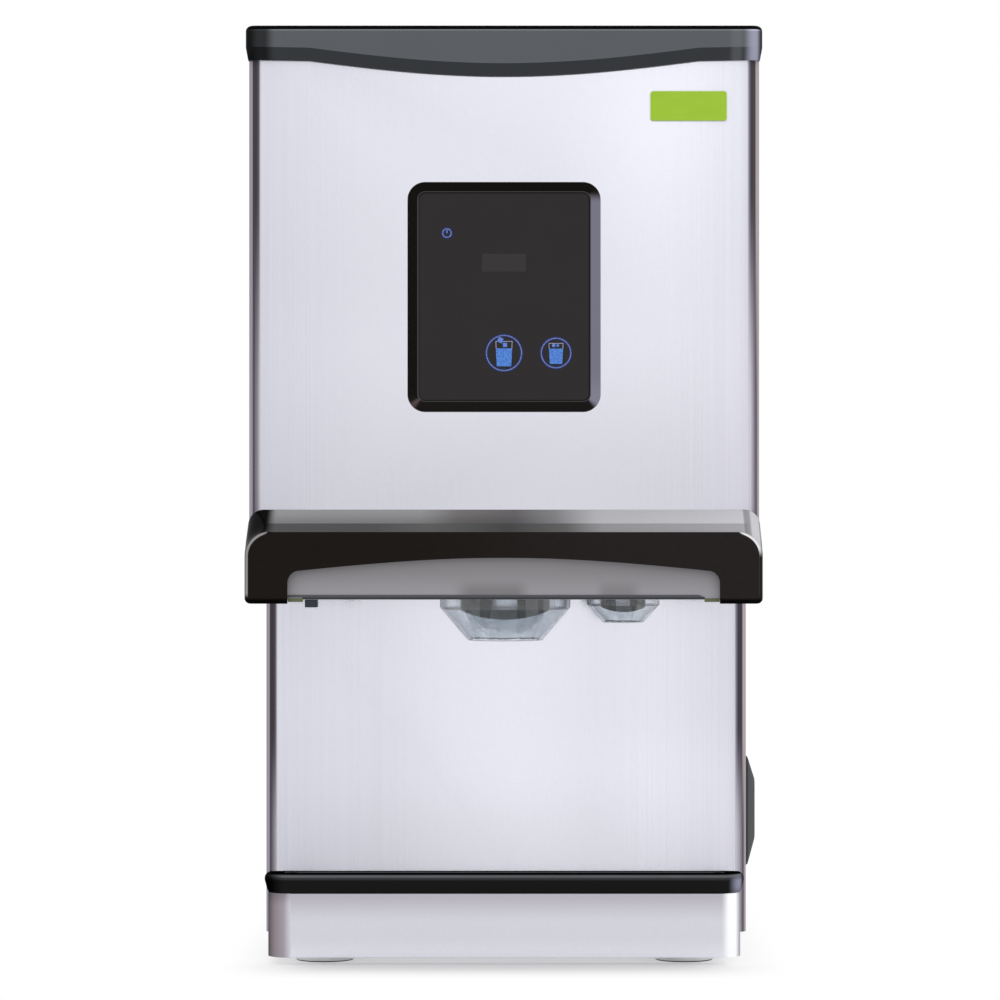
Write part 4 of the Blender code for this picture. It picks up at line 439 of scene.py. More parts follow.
def rim_moulding():
    """Rim of the drip base: matt black, with a painted grey band and highlight along its upper edge, painted
    shade on its top and left end, and a painted highlight at its right end.
    """
    made = Finish("rim_moulding", specular_ior_level=0.0)
    grain = made.noise(1500)
    cloud = made.noise(40)
    up = made.facing(2)
    across = made.place(0)
    height = made.place(2)
    # glow: a painted highlight at the right end, dimmer high up
    glow = across.fade(0.1650, 0.1735) * (1.0 - 0.75 * height.fade(0.0610, 0.0655))
    # Painted light: a grey band high on the front, a painted highlight on its upward rounding, and at the
    # right end the painted highlight and a painted dark outline
    tone = made.layered(
        made.blend(grain, (0.0085, 0.0088, 0.0085), (0.0115, 0.0118, 0.0112)),
        (height.fade(0.0618, 0.0634), made.blend(grain, (0.031, 0.033, 0.036), (0.040, 0.042, 0.046))),
        (up.between(0.28, 0.42, 0.74, 0.86),
         made.blend(cloud, (0.088, 0.09, 0.096), (0.125, 0.128, 0.136))),
        (glow * (0.6 + 0.4 * height.fade(0.052, 0.058)), (0.26, 0.265, 0.345)),
        (across.fade(0.1738, 0.1770), (0.012, 0.012, 0.018)))
    # Painted shade towards the left end
    tone = made.scaled(tone, 1.0 - 0.93 * (-across).fade(0.1610, 0.1742))
    # Painted shade on the flat top
    tone = made.blend(up.fade(0.84, 0.93), tone, (0.0012, 0.0012, 0.0015))
    return made.surface(tone, 0.4 + grain * 0.12, grain, 0.00004, 0.5)


def cover_moulding():
    """Grey nozzle cover, a little lighter towards its lip under painted shade that darkens it towards the
    visor, and dimmed over each nozzle.
    """
    made = Finish("cover_moulding", specular_ior_level=0.1)
    grain = made.noise(1500)
    cloud = made.noise(18, 3.0)
    across = made.place(0)
    height = made.place(2)
    dim = across.between(-0.040, -0.022, 0.008, 0.022) + 0.8 * across.between(0.065, 0.075, 0.090, 0.104)
    # Painted shade darkens the face towards the visor above; it is a little lighter towards the lip
    tone = made.layered(
        made.blend(height.fade(0.270, 0.292), (0.318, 0.310, 0.330), (0.250, 0.243, 0.255)),
        (dim * height.fade_out(0.275, 0.286) * 0.6, (0.13, 0.125, 0.13)),
        (grain * 0.1 + cloud * 0.12, (0.18, 0.175, 0.185)))
    return made.surface(tone, 0.36 + cloud * 0.08 + grain * 0.05, grain, 0.00004, 0.5)


def lip_moulding():
    """Lip of the nozzle cover: its lower half is darkened by painted shade."""
    made = moulding("lip_moulding", (0.078, 0.079, 0.088), 0.4, specular_ior_level=0.1)
    grain = made.noise(900)
    dark = made.blend(grain, (0.030, 0.034, 0.040), (0.038, 0.042, 0.049))
    light = made.blend(grain, (0.074, 0.076, 0.084), (0.088, 0.089, 0.099))
    # Painted shade: the lower half darker
    made.set("Base Color", made.blend(made.place(2).fade(0.2707, 0.2716), dark, light))
    return made.material


def skirt_moulding():
    """Dark skirts inside the clear nozzles, with painted reflections as nearly black bars beside their
    windows.
    """
    made = moulding("skirt_moulding", (0.13, 0.13, 0.132), 0.4, specular_ior_level=0.15)
    across = made.place(0)
    # Painted reflections: nearly black upright bars beside the windows
    painted_reflection_bars = 0.0
    for start, full, past, gone in (
            (-0.0190, -0.0182, -0.0112, -0.0106), (0.0090, 0.0096, 0.0150, 0.0162),
            (0.0245, 0.0252, 0.0285, 0.0300), (0.0765, 0.0772, 0.0838, 0.0846),
            (0.0952, 0.0960, 0.1000, 0.1008), (0.1030, 0.1036, 0.1060, 0.1070)):
        painted_reflection_bars = across.between(start, full, past, gone) + painted_reflection_bars
    pale = made.blend(made.noise(900), (0.14, 0.141, 0.144), (0.18, 0.181, 0.184))
    made.set("Base Color", made.blend(painted_reflection_bars * 0.85, pale, (0.03, 0.031, 0.033)))
    return made.material


def gloss_black():
    """Visor: high-gloss black with painted light: painted reflections in two steps on top, painted shade at
    its left end and foot, a face lighter to the right, a painted highlight round its front ends.
    """
    made = Finish("gloss_black", specular_ior_level=0.015)
    wave = made.noise(35)
    haze = made.noise(240, 3.0)
    up = made.facing(2)
    side = made.facing(0)
    ahead = -made.facing(1)
    across = made.place(0)
    left = -across
    height = made.place(2)
    along = across / 0.38 + 0.5
    # Painted reflections on the top, in two steps, brighter towards the right
    painted_top_reflection = made.ramp(along, (
        (0.34, (0.31, 0.31, 0.32)), (0.41, (0.19, 0.18, 0.18)), (0.52, (0.15, 0.14, 0.15)),
        (0.60, (0.25, 0.25, 0.26)), (0.68, (0.48, 0.48, 0.50)), (0.96, (0.54, 0.54, 0.57))))
    painted_step_reflection = made.ramp(along, (
        (0.25, (0.09, 0.09, 0.09)), (0.35, (0.12, 0.12, 0.12)), (0.51, (0.07, 0.07, 0.07)),
        (0.62, (0.13, 0.13, 0.13)), (0.69, (0.31, 0.31, 0.32)), (0.96, (0.38, 0.37, 0.39))))
    # fall: painted shade over the left of the upper step, low down
    fall = 1.0 - along.fade_out(0.45, 0.72) * (0.36 * height.fade_out(0.3245, 0.3350))
    painted_top_reflection = made.scaled(painted_top_reflection, fall * (1.0 + 0.06 * haze))
    step = 1.0 - height.fade_out(0.3248, 0.3255) * across.fade_out(0.1745, 0.1810)
    top = made.blend(step, painted_step_reflection, painted_top_reflection)
    # Painted shade in a strip near the right corner
    top = made.scaled(top, 1.0 - 0.45 * across.between(0.1752, 0.1768, 0.1798, 0.1820))
    # Painted light: the black face grows lighter towards the right
    black = made.blend(along.fade(0.3, 0.75), (0.0118, 0.0095, 0.0080), (0.0178, 0.0150, 0.0148))
    # The haze is the face's own unevenness; painted shade darkens the foot and the top of the left end
    for share in (0.85 + 0.3 * haze, 1.0 - 0.9 * height.fade_out(0.2690, 0.2712),
                  1.0 - 0.92 * left.fade(0.1665, 0.1745) * up.fade(0.1, 0.3)):
        black = made.scaled(black, share)
    # ledge: the top faces that carry the painted reflections
    ledge = up.fade(0.1, 0.3) * ahead.fade_out(0.6, 0.8)
    ledge = ledge * left.fade_out(0.1665, 0.1745) * across.fade_out(0.1868, 0.1890)
    # line: a painted highlight round the front ends; on the right it stops below the corner
    line = ahead.between(0.5, 0.75, 0.975, 0.997) * abs(side).fade(0.03, 0.12) * height.fade(0.2705, 0.2745)
    line = line * (1.0 - side.fade(0.0, 0.2) * height.fade_out(0.300, 0.308))
    painted_edge_highlight = made.blend(side.fade(-0.05, 0.05), (0.27, 0.26, 0.26), (0.78, 0.78, 0.80))
    tone = made.layered(black, (ledge, top), (line * (1.0 - ledge), painted_edge_highlight))
    return made.surface(tone, 0.14 + haze * 0.07 + ledge * 0.3, wave, 0.0001, 0.3)


def bezel_black():
    """Frame of the control panel: high-gloss black, a painted sheen down its right bevel, a painted
    reflection on its lower left bevels, a painted highlight round the glass.
    """
    made = Finish("bezel_black", specular_ior_level=0.07)
    wave = made.noise(60)
    haze = made.noise(300, 3.0)
    side = made.facing(0)
    height = made.place(2)
    # Painted sheen down the right bevel
    sheen = side.between(0.3, 0.46, 0.7, 0.9) * height.fade_out(0.5615, 0.570)
    tone = made.layered(
        made.blend(haze, (0.0042, 0.0032, 0.0026), (0.0075, 0.0061, 0.0048)),
        (sheen * (0.8 + 0.2 * height.fade_out(0.415, 0.44)), (0.225, 0.215, 0.28)),
        # Painted reflection on the lower left bevels
        ((-side).fade(0.25, 0.4) * (-made.facing(2)).fade(0.2, 0.35), (0.09, 0.065, 0.06)),
        # Painted highlight on the narrow land round the glass
        ((-made.facing(1)).fade(0.9, 0.97), (0.05, 0.048, 0.048)))
    return made.surface(tone, 0.14 + haze * 0.07, wave, 0.00004, 0.3)


def clear_hose():
    made = Finish("clear_hose", specular_ior_level=0.5)
    haze = made.noise(150, 3.0)
    made.set("Alpha", 0.62 + haze * 0.16)
    return made.surface(made.blend(haze, (0.52, 0.58, 0.6), (0.68, 0.74, 0.76)), 0.14 + haze * 0.14)


def clear_moulding():
    """Smoky clear plastic with flow marks, with painted shade where it is seen edge on and a painted lighter
    tint above its cone.
    """
    made = Finish("clear_moulding", transmission_weight=0.95, ior=1.4, specular_ior_level=0.7)
    flow = made.noise((160, 160, 14), 3.0)
    edge = made.add("ShaderNodeLayerWeight", inputs={"Blend": 0.35}, output="Facing")
    tone = made.layered(
        made.blend(flow.fade(0.38, 0.66), (0.78, 0.83, 0.855), (0.93, 0.955, 0.97)),
        # Painted light: a lighter tint above the cone
        (made.place(2).fade(0.2598, 0.2606) * 0.7, (0.97, 0.985, 1.0)),
        # Painted shade where the plastic is seen edge on
        (edge.fade(0.2, 0.62) * 0.6, (0.46, 0.53, 0.56)),
        (edge.fade(0.64, 0.9) * 0.9, (0.13, 0.17, 0.19)))
    return made.surface(tone, 0.03 + made.noise(700) * 0.07, flow, 0.0003, 0.4)


def dark_glass():
    made = Finish("dark_glass", specular_ior_level=0.08)
    haze = made.noise(45, 4.0)
    dust = made.noise(1800, 1.0).fade(0.62, 0.8)
    return made.surface(made.blend(haze, (0.0235, 0.0207, 0.0213), (0.027, 0.0238, 0.0245)),
                        0.09 + haze * 0.05 + dust * 0.1)


# Foam, enamel, circuit board, badge and print

def insulation_foam():
    made = Finish("insulation_foam", specular_ior_level=0.2)
    pores = made.cells(520)
    share = pores * 0.7 + made.noise(40, 3.0) * 0.4
    return made.surface(made.blend(share, (0.025, 0.025, 0.028), (0.08, 0.08, 0.085)), 0.9,
                        pores, 0.0005, 0.7)


def baked_enamel():
    made = Finish("baked_enamel", coat_roughness=0.1)
    cloud = made.noise(30, 3.0)
    made.set("Coat Weight", 0.25 + cloud * 0.2)
    return made.surface(made.blend(cloud, (0.011, 0.011, 0.013), (0.021, 0.021, 0.024)),
                        0.24 + cloud * 0.12, made.noise(420), 0.00012, 0.5)


def circuit_board():
    """Green resist with fine copper tracks showing through."""
    made = Finish("circuit_board")
    tracks = made.add("ShaderNodeTexBrick", {"offset": 0.37, "squash_frequency": 3}, {
        "Vector": made.stretched((320, 1, 210)), "Scale": 1.0, "Mortar Size": 0.09,
        "Mortar Smooth": 0.2}, "Fac")
    cloud = made.noise(90, 3.0)
    resist = made.blend(cloud, (0.012, 0.12, 0.05), (0.025, 0.18, 0.08))
    return made.surface(made.blend(tracks, resist, (0.05, 0.27, 0.11)), 0.28 + cloud * 0.14,
                        tracks, 0.00006, 0.6)


def badge_green():
    """Green inlay, clouded and finely flecked."""
    made = Finish("badge_green", specular_ior_level=0.3)
    fleck = made.noise(900)
    share = fleck * 0.35 + made.noise((50, 50, 120), 3.0) * 0.65
    return made.surface(made.blend(share, (0.27, 0.465, 0.016), (0.36, 0.58, 0.036)), 0.24 + fleck * 0.12)


def badge_rim():
    """Pale edge of the badge, with painted shade on its underside."""
    made = Finish("badge_rim", specular_ior_level=0.4)
    fleck = made.noise(700)
    pale = made.blend(fleck, (0.52, 0.66, 0.28), (0.62, 0.76, 0.36))
    # Painted shade on the underside
    return made.surface(made.blend(made.facing(2).fade(-0.6, 0.0), (0.16, 0.29, 0.03), pale),
                        0.22 + fleck * 0.14)


def lit_print(name, dark, light, glow):
    """Print that is lit from behind the glass."""
    made = Finish(name, specular_ior_level=0.15, emission_strength=glow)
    mottle = made.noise(800).fade(0.35, 0.65)
    tone = made.blend(mottle, dark, light)
    made.set("Emission Color", tone)
    return made.surface(tone, 0.3 + mottle * 0.1)


# Shapes

# Roundness, in steps for a full turn, for a hole and for a quarter turn
turn_steps = 96
hole_steps = 40
corner_steps = 12

PLANES = {
    "XY": lambda a, b, level: (a, b, level),
    "XZ": lambda a, b, level: (a, level, b),
    "YZ": lambda a, b, level: (level, a, b),
}


def arc(centre_a, centre_b, radius, start, stop, steps=corner_steps):
    angles = [math.radians(start + (stop - start) * step / steps) for step in range(steps + 1)]
    return [(centre_a + radius * math.cos(angle), centre_b + radius * math.sin(angle)) for angle in angles]


def rounded(low_a, low_b, high_a, high_b, radius, steps=corner_steps):
    """A rectangle with round corners."""
    return (arc(low_a + radius, low_b + radius, radius, 180, 270, steps)
            + arc(high_a - radius, low_b + radius, radius, 270, 360, steps)
            + arc(high_a - radius, high_b - radius, radius, 0, 90, steps)
            + arc(low_a + radius, high_b - radius, radius, 90, 180, steps))


def circle(centre_a, centre_b, radius, steps=hole_steps):
    return arc(centre_a, centre_b, radius, 0, 360 - 360 / steps, steps - 1)


def rectangle(low_a, low_b, high_a, high_b):
    return [(low_a, low_b), (high_a, low_b), (high_a, high_b), (low_a, high_b)]


def slot(centre_a, centre_b, length, height, steps=8):
    """A long hole with round ends."""
    reach = length / 2 - height / 2
    return (arc(centre_a + reach, centre_b, height / 2, -90, 90, steps)
            + arc(centre_a - reach, centre_b, height / 2, 90, 270, steps))


def upright_slot(centre_a, centre_b, width, length):
    return [(centre_a + a, centre_b + b) for b, a in slot(0, 0, length, width)][::-1]


def slot_rows(centre_a, low_b, length, height, pitch, rows):
    return [slot(centre_a, low_b + pitch * row, length, height) for row in range(rows)]


def both_sides(near, far):
    """The ends of a span on the left and of its mirror on the right."""
    return (-far, -near), (near, far)


def slab(plane, outline, low, high, holes=()):
    """A flat plate between two levels, with any outline and any holes."""
    place = PLANES[plane]
    loops = [outline, *holes]
    triangles = tessellate_polygon([[Vector((a, b, 0)) for a, b in loop] for loop in loops])
    bm = bmesh.new()
    lower, upper = ([bm.verts.new(place(a, b, level)) for loop in loops for a, b in loop]
                    for level in (low, high))
    for corners in triangles:
        bm.faces.new([lower[corner] for corner in corners])
        bm.faces.new([upper[corner] for corner in corners])
    start = 0
    for loop in loops:
        count = len(loop)
        for step in range(count):
            here = start + step
            after = start + (step + 1) % count
            bm.faces.new((lower[here], lower[after], upper[after], upper[here]))
        start += count
    return bm


def loft(loops, closed=False):
    """A solid through a row of loops with equal point counts; a loop of one point is a tip."""
    bm = bmesh.new()
    rows = [[bm.verts.new(point) for point in loop] for loop in loops]
    pairs = list(zip(rows, rows[1:]))
    if closed:
        pairs.append((rows[-1], rows[0]))
    for near, far in pairs:
        count = max(len(near), len(far))
        for step in range(count):
            after = (step + 1) % count
            corners = []
            for row, index in ((near, step), (near, after), (far, after), (far, step)):
                vertex = row[index % len(row)]
                if vertex not in corners:
                    corners.append(vertex)
            if len(corners) > 2:
                bm.faces.new(corners)
    if not closed:
        for row in (rows[0], rows[-1]):
            if len(row) > 1:
                bm.faces.new(row)
    return bm


def lathe(profile, axis="Z", centre=(0, 0, 0), steps=turn_steps, closed=False):
    """A turned solid from radii and heights along an axis through a centre."""
    loops = []
    for radius, height in profile:
        loop = []
        for a, b in circle(0, 0, radius, steps) if radius > 0 else [(0, 0)]:
            local = {"Y": (a, height, b), "Z": (a, b, height)}[axis]
            loop.append(tuple(c + offset for c, offset in zip(centre, local)))
        loops.append(loop)
    return loft(loops, closed)


def block(low, high):
    return slab("XY", rectangle(low[0], low[1], high[0], high[1]), low[2], high[2])


def level_loop(outline, plane, level):
    return [PLANES[plane](a, b, level) for a, b in outline]


def loose(bm):
    """A plain object of a shape, for cutting with."""
    bmesh.ops.recalc_face_normals(bm, faces=bm.faces)
    mesh = bpy.data.meshes.new("loose")
    bm.to_mesh(mesh)
    bm.free()
    made = bpy.data.objects.new("loose", mesh)
    bpy.context.collection.objects.link(made)
    return made


def carve(bm, tools, operation="DIFFERENCE"):
    """Cut shapes out of a solid, or join them to it, and give the solid back."""
    base = loose(bm)
    others = [loose(tool) for tool in tools]
    for other in others:
        modifier = base.modifiers.new("carve", "BOOLEAN")
        modifier.operation = operation
        modifier.solver = "EXACT"
        modifier.object = other
    evaluated = base.evaluated_get(bpy.context.evaluated_depsgraph_get())
    made = bmesh.new()
    made.from_mesh(evaluated.to_mesh())
    evaluated.to_mesh_clear()
    for item in (base, *others):
        bpy.data.objects.remove(item, do_unlink=True)
    return made


def settle(name, bm, finish, node=None, body="machine", edge=0.0, segments=2, crease=30.0):
    """Turn a shape into a piece that rides on a body, with soft edges of the given width."""
    bmesh.ops.recalc_face_normals(bm, faces=bm.faces)
    bmesh.ops.translate(bm, verts=bm.verts, vec=shift)
    mesh = bpy.data.meshes.new(name)
    bm.to_mesh(mesh)
    bm.free()
    mesh.materials.append(finish)
    mesh.shade_smooth()
    made = bpy.data.objects.new(name, mesh)
    bpy.context.collection.objects.link(made)
    if edge:
        modifier = made.modifiers.new("soft_edges", "BEVEL")
        modifier.width = edge
        modifier.segments = segments
        modifier.limit_method = "ANGLE"
        modifier.angle_limit = math.radians(crease)
        modifier.harden_normals = True
    else:
        mesh.set_sharp_from_angle(angle=math.radians(crease))
    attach(made, body)
    if node:
        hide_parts(node)


# Casing

gauge = 0.0012
gap = 0.0003
overrun = 0.003
fine_corner = 0.0006
panel_corner = 0.0092
panel_return = 0.016
sheet_proud = 0.0007
sheet_edge = 0.0002
body_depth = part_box("rear_panel")[1].y - shift.y
recess_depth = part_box("splash_panel")[0].y - shift.y
overall_height = cad_high.z


def bent_sheet(face, low, high):
    """A sheet whose two upright edges are bent back round the corners of the body."""
    half = half_body + sheet_proud
    back = face + panel_return
    centre = half - panel_corner
    bend = face + panel_corner
    inner = panel_corner - gauge
    outline = [(-half, back), *arc(-centre, bend, panel_corner, 180, 270),
               *arc(centre, bend, panel_corner, 270, 360), (half, back), (half - gauge, back),
               *arc(centre, bend, inner, 360, 270), *arc(-centre, bend, inner, 270, 180),
               (gauge - half, back)]
    return slab("XY", outline, low, high)


def front_panel():
    low, high = place_of("upper_front_panel")
    reach_a = control_half_width - bezel_inset + gap
    reach_b = control_half_height - bezel_inset + gap
    opening = rounded(-reach_a, control_centre - reach_b, reach_a, control_centre + reach_b,
                      control_corner - bezel_inset)
    bm = carve(bent_sheet(0, low.z, high.z), [slab("XZ", opening, -overrun, gauge + overrun)])
    settle("front_sheet", bm, bent_finish, "upper_front_panel", edge=sheet_edge)


def splash_sheet():
    low, high = place_of("splash_panel")
    hole = circle(drain_offset, drain_height, hose_hole)
    bm = carve(bent_sheet(recess_depth, low.z, high.z),
               [slab("XZ", hole, recess_depth - overrun, recess_depth + gauge + overrun)])
    settle("splash_sheet", bm, splash_finish, "splash_panel", edge=sheet_edge)


def side_sheets():
    slot_length, slot_height, slot_pitch, slot_count = 0.140, 0.006, 0.012, 5
    low, high = place_of("side_panel_left")
    upper_front = panel_return + gap
    lower_front = recess_depth + panel_return + gap
    step = place_of("upper_front_panel")[0].z
    outline = [(lower_front, low.z), (high.y, low.z), (high.y, high.z), (upper_front, high.z),
               (upper_front, step), (lower_front, step)]
    cover_low, cover_high = place_of("side_vent_cover")
    first = (cover_low.z + cover_high.z - slot_pitch * (slot_count - 1)) / 2
    slots = slot_rows((cover_low.y + cover_high.y) / 2, first, slot_length, slot_height, slot_pitch,
                      slot_count)
    for name, side in (("left", -1), ("right", 1)):
        bm = slab("YZ", outline, side * (half_body - gauge), side * half_body, slots)
        settle(f"side_sheet_{name}", bm, steel, f"side_panel_{name}", edge=sheet_edge)


def rear_sheet():
    bank_offset, first_slot = 0.072, 0.150
    slot_length, slot_height, slot_pitch, slot_count = 0.110, 0.005, 0.014, 9
    low, high = place_of("rear_panel")
    holes = []
    for side in (-1, 1):
        holes += slot_rows(side * bank_offset, first_slot, slot_length, slot_height, slot_pitch, slot_count)
    holes += [circle(valve_x, valve_height, thread_radius + gap),
              circle(drain_offset, drain_height, hose_radius + gap), inlet_outline(gap)]
    bm = slab("XZ", rectangle(low.x, low.z, high.x, high.z), low.y, high.y, holes)
    settle("rear_sheet", bm, steel, "rear_panel")


# Cap

cap_corner = 0.008
cap_rear_corner = 0.003
cap_top_round = 0.004
cap_bow = 0.0121
cap_bow_half_width = 0.149


def cap_ring(inset_front, inset_side, inset_rear, corner, far_corner, level, bow=0.0):
    """One ring of the cap; the front run sags by the bow towards its middle."""
    low, high = place_of("top_cap")
    left = low.x + inset_side
    right = high.x - inset_side
    front = low.y + inset_front
    rear = high.y - inset_rear
    bow_steps = 56
    points = [(a, b, level) for a, b in arc(left + corner, front + corner, corner, 180, 270)]
    for step in range(1, bow_steps):
        share = 2 * step / bow_steps - 1
        points.append((cap_bow_half_width * share, front, level - bow * math.cos(share * math.pi / 2)))
    rest = (arc(right - corner, front + corner, corner, 270, 360)
            + arc(right - far_corner, rear - far_corner, far_corner, 0, 90, 4)
            + arc(left + far_corner, rear - far_corner, far_corner, 90, 180, 4))
    return points + [(a, b, level) for a, b in rest]


def cap():
    """Moulded cap: a rounded top edge, a bowed band and an undercut that runs back to the panel."""
    edge_drop, band_drop, wall = 0.0251, 0.0161, 0.004
    edge = overall_height - edge_drop
    band = overall_height - band_drop
    underside = overall_height - wall
    low, high = place_of("top_cap")
    inside = (-low.y - gap, -low.x - half_body - gap, high.y - body_depth - gap, panel_corner + gap,
              fine_corner)
    undercut_front, undercut_side = 0.005, 0.0017
    undercut = (undercut_front, undercut_side, 0, cap_corner - undercut_front, cap_rear_corner)
    outside = (0, 0, 0, cap_corner, cap_rear_corner)
    loops = [
        cap_ring(*inside, underside), cap_ring(*inside, edge, cap_bow), cap_ring(*undercut, edge, cap_bow),
        cap_ring(*outside, band, cap_bow), cap_ring(*outside, overall_height - 1.1 * cap_top_round),
        cap_ring(*outside, overall_height - cap_top_round),
    ]
    round_steps = 6
    for step in range(1, round_steps + 1):
        angle = math.pi / 2 * step / round_steps
        inset = cap_top_round * (1 - math.cos(angle))
        level = overall_height - cap_top_round * (1 - math.sin(angle))
        loops.append(cap_ring(inset, inset, inset, cap_corner - inset,
                              max(cap_rear_corner - inset, fine_corner), level))
    settle("cap", loft(loops), cap_finish, "top_cap", edge=0.0007, segments=3, crease=22.0)


# Visor

visor_reach = -place_of("visor")[0].y
visor_bottom = place_of("visor")[0].z
visor_half_width = 0.1888
visor_wall = 0.003
visor_foot = 0.004
visor_edge = 0.003
visor_skirt = 0.0009


def visor_outline(half_width, top, corner, bottom):
    return (arc(-half_width + visor_foot, bottom + visor_foot, visor_foot, 180, 270)
            + arc(half_width - visor_foot, bottom + visor_foot, visor_foot, 270, 360)
            + arc(half_width - corner, top - corner, corner, 0, 90, 2 * corner_steps)
            + arc(-half_width + corner, top - corner, corner, 90, 180, 2 * corner_steps))


def visor_sections():
    """Depth, half width, rise and corner radius, from the panel to the face."""
    swollen = visor_half_width + 0.0002
    rows = [(-gap, visor_half_width, 0.0679, 0.0118), (-0.022, swollen, 0.0579, 0.0165),
            (-0.030, swollen, 0.0533, 0.0185)]
    steps = 8
    for step in range(steps + 1):
        angle = math.pi / 2 * step / steps
        inset = visor_edge * (1 - math.cos(angle))
        rows.append((visor_edge * (1 - math.sin(angle)) - visor_reach, visor_half_width - inset,
                     0.0522 - inset, 0.0185 - inset))
    return rows


def arch_outline():
    """The opening in the visor's face: upright sides, round shoulders and a shallow crown."""
    half_width, corner, shoulder_rise, crown_rise = 0.1575, 0.009, 0.0232, 0.0325
    shoulder = visor_bottom + shoulder_rise
    crown = visor_bottom + crown_rise
    flank = half_width - corner
    crown_steps = 60
    points = [(-half_width, visor_bottom - overrun), *arc(-flank, shoulder - corner, corner, 180, 105)]
    for step in range(1, crown_steps):
        share = 2 * step / crown_steps - 1
        points.append((flank * share, shoulder + (crown - shoulder) * math.cos(share * math.pi / 2)))
    return [*points, *arc(flank, shoulder - corner, corner, 75, 0), (half_width, visor_bottom - overrun)]


def visor():
    outer = []
    inner = []
    for depth, half_width, rise, corner in visor_sections():
        outline = visor_outline(half_width, visor_bottom + rise, corner, visor_bottom - visor_skirt)
        outer.append(level_loop(outline, "XZ", depth))
        hollow = visor_outline(half_width - visor_wall, visor_bottom + rise - visor_wall,
                               corner - visor_wall, visor_bottom - 2 * visor_foot)
        inner.append(level_loop(hollow, "XZ", min(depth + visor_wall, overrun)))
    arch = slab("XZ", arch_outline(), -visor_reach - overrun, -visor_reach + 2 * visor_wall)
    bm = carve(loft(outer), [loft(inner), arch])
    bmesh.ops.connect_verts_concave(bm, faces=bm.faces)
    settle("visor_shell", bm, gloss, "visor", edge=0.0007, segments=3, crease=24.0)


# Nozzle cover

cover_bottom = 0.2680
cover_plate = 0.003
cover_half_width = 0.158
cover_plate_half = 0.1467
cover_reach = 0.0315
cover_wall = 0.0025
lip_bottom = 0.2698
lip_step = 0.2712
lip_top = 0.2729
nozzle_line = 0.090
water_offset = 0.090


def nozzle_cover():
    """Grey moulding with its darker lip, its catch and the sealing strips beyond the lip's ends."""
    face_rise, rib_front, rib_wall, rib_clearance = 0.044, 0.059, 0.003, 0.003
    ice_hole, water_hole = 0.0500, 0.0281
    rear = recess_depth - gap
    top = cover_bottom + cover_plate
    back = cover_wall - cover_reach
    deck = place_of("middle_deck")[0].z
    outline = rectangle(-cover_plate_half, back - overrun / 2, cover_plate_half, rear)
    holes = (circle(0, nozzle_line, ice_hole, turn_steps),
             circle(water_offset, nozzle_line, water_hole, turn_steps))
    face = block((-cover_half_width, -cover_reach, top - cover_plate / 2),
                 (cover_half_width, back, cover_bottom + face_rise))
    ribs = [block((start, rib_front, top - cover_plate / 2), (stop, rear - rib_clearance, deck - gap))
            for start, stop in both_sides(cover_plate_half - rib_wall, cover_plate_half)]
    bm = carve(slab("XY", outline, lip_bottom, top, holes), [face, *ribs], "UNION")
    settle("cover_body", bm, cover_finish, "nozzle_cover", edge=0.0005)

    proud, lip_end, slant = 0.0006, 0.0005 - cover_half_width, 0.0045
    lip = [(-cover_plate_half, lip_bottom), (cover_plate_half, lip_bottom), (cover_plate_half, lip_step),
           (cover_plate_half - slant, lip_top), (lip_end, lip_top), (lip_end, lip_step),
           (-cover_plate_half, lip_step)]
    settle("cover_lip", slab("XZ", lip, -cover_reach - proud, -cover_reach), lip_grey,
           edge=sheet_edge)

    catch_x, catch_half, catch_drop = -0.1406, 0.0045, 0.0042
    catch_front, catch_back, catch_root = 0.0008, 0.014, 0.001
    catch = block((catch_x - catch_half, -cover_reach + catch_front, cover_bottom - catch_drop),
                  (catch_x + catch_half, -cover_reach + catch_back, lip_bottom + catch_root))
    settle("cover_catch", catch, lip_grey, edge=0.0005)

    strip_proud, strip_depth, strip_drop, strip_top = 0.0004, 0.006, 0.0002, 0.2704
    for name, (start, stop) in zip(("left", "right"), both_sides(cover_plate_half, -lip_end)):
        strip = block((start, -cover_reach - strip_proud, cover_bottom - strip_drop),
                      (stop, -cover_reach + strip_depth, strip_top))
        settle(f"seal_strip_{name}", strip, seal, edge=0.0004)


def nozzle(node, name, x, radius, mouth, shoulder_drop, drop):
    """A clear funnel that hangs by its flange in the cover."""
    wall, cone_wall, flange_reach, flange_height = 0.0022, 0.0029, 0.0033, 0.002
    flange_low = cover_bottom + cover_plate + gap
    flange_top = flange_low + flange_height
    inner = radius - wall
    shoulder = cover_bottom - shoulder_drop
    bottom = cover_bottom - drop
    profile = [(inner, flange_top), (radius + flange_reach, flange_top),
               (radius + flange_reach, flange_low), (radius, flange_low), (radius, shoulder),
               (mouth, bottom), (mouth - cone_wall, bottom), (inner, shoulder)]
    bm = lathe(profile, centre=(x, nozzle_line, 0), closed=True)
    settle(name, bm, clear, node, edge=0.0006, segments=3, crease=20.0)


def chute_ring(half_width, level, wave=0.0, roundness=0.0):
    """A ring between a rounded square and a circle, with a wavy level."""
    corner_radius = 0.010
    loop = []
    reach = half_width - corner_radius
    for step in range(turn_steps):
        angle = 2 * math.pi * step / turn_steps
        along = Vector((math.cos(angle), math.sin(angle)))
        square = along * half_width / max(abs(along.x), abs(along.y))
        corner = Vector((max(-reach, min(reach, square.x)), max(-reach, min(reach, square.y))))
        if (square - corner).length > 0 and abs(corner.x) == reach and abs(corner.y) == reach:
            square = corner + (square - corner).normalized() * corner_radius
        point = square.lerp(along * half_width, roundness)
        loop.append((point.x, nozzle_line + point.y, level + wave * math.cos(2 * angle)))
    return loop


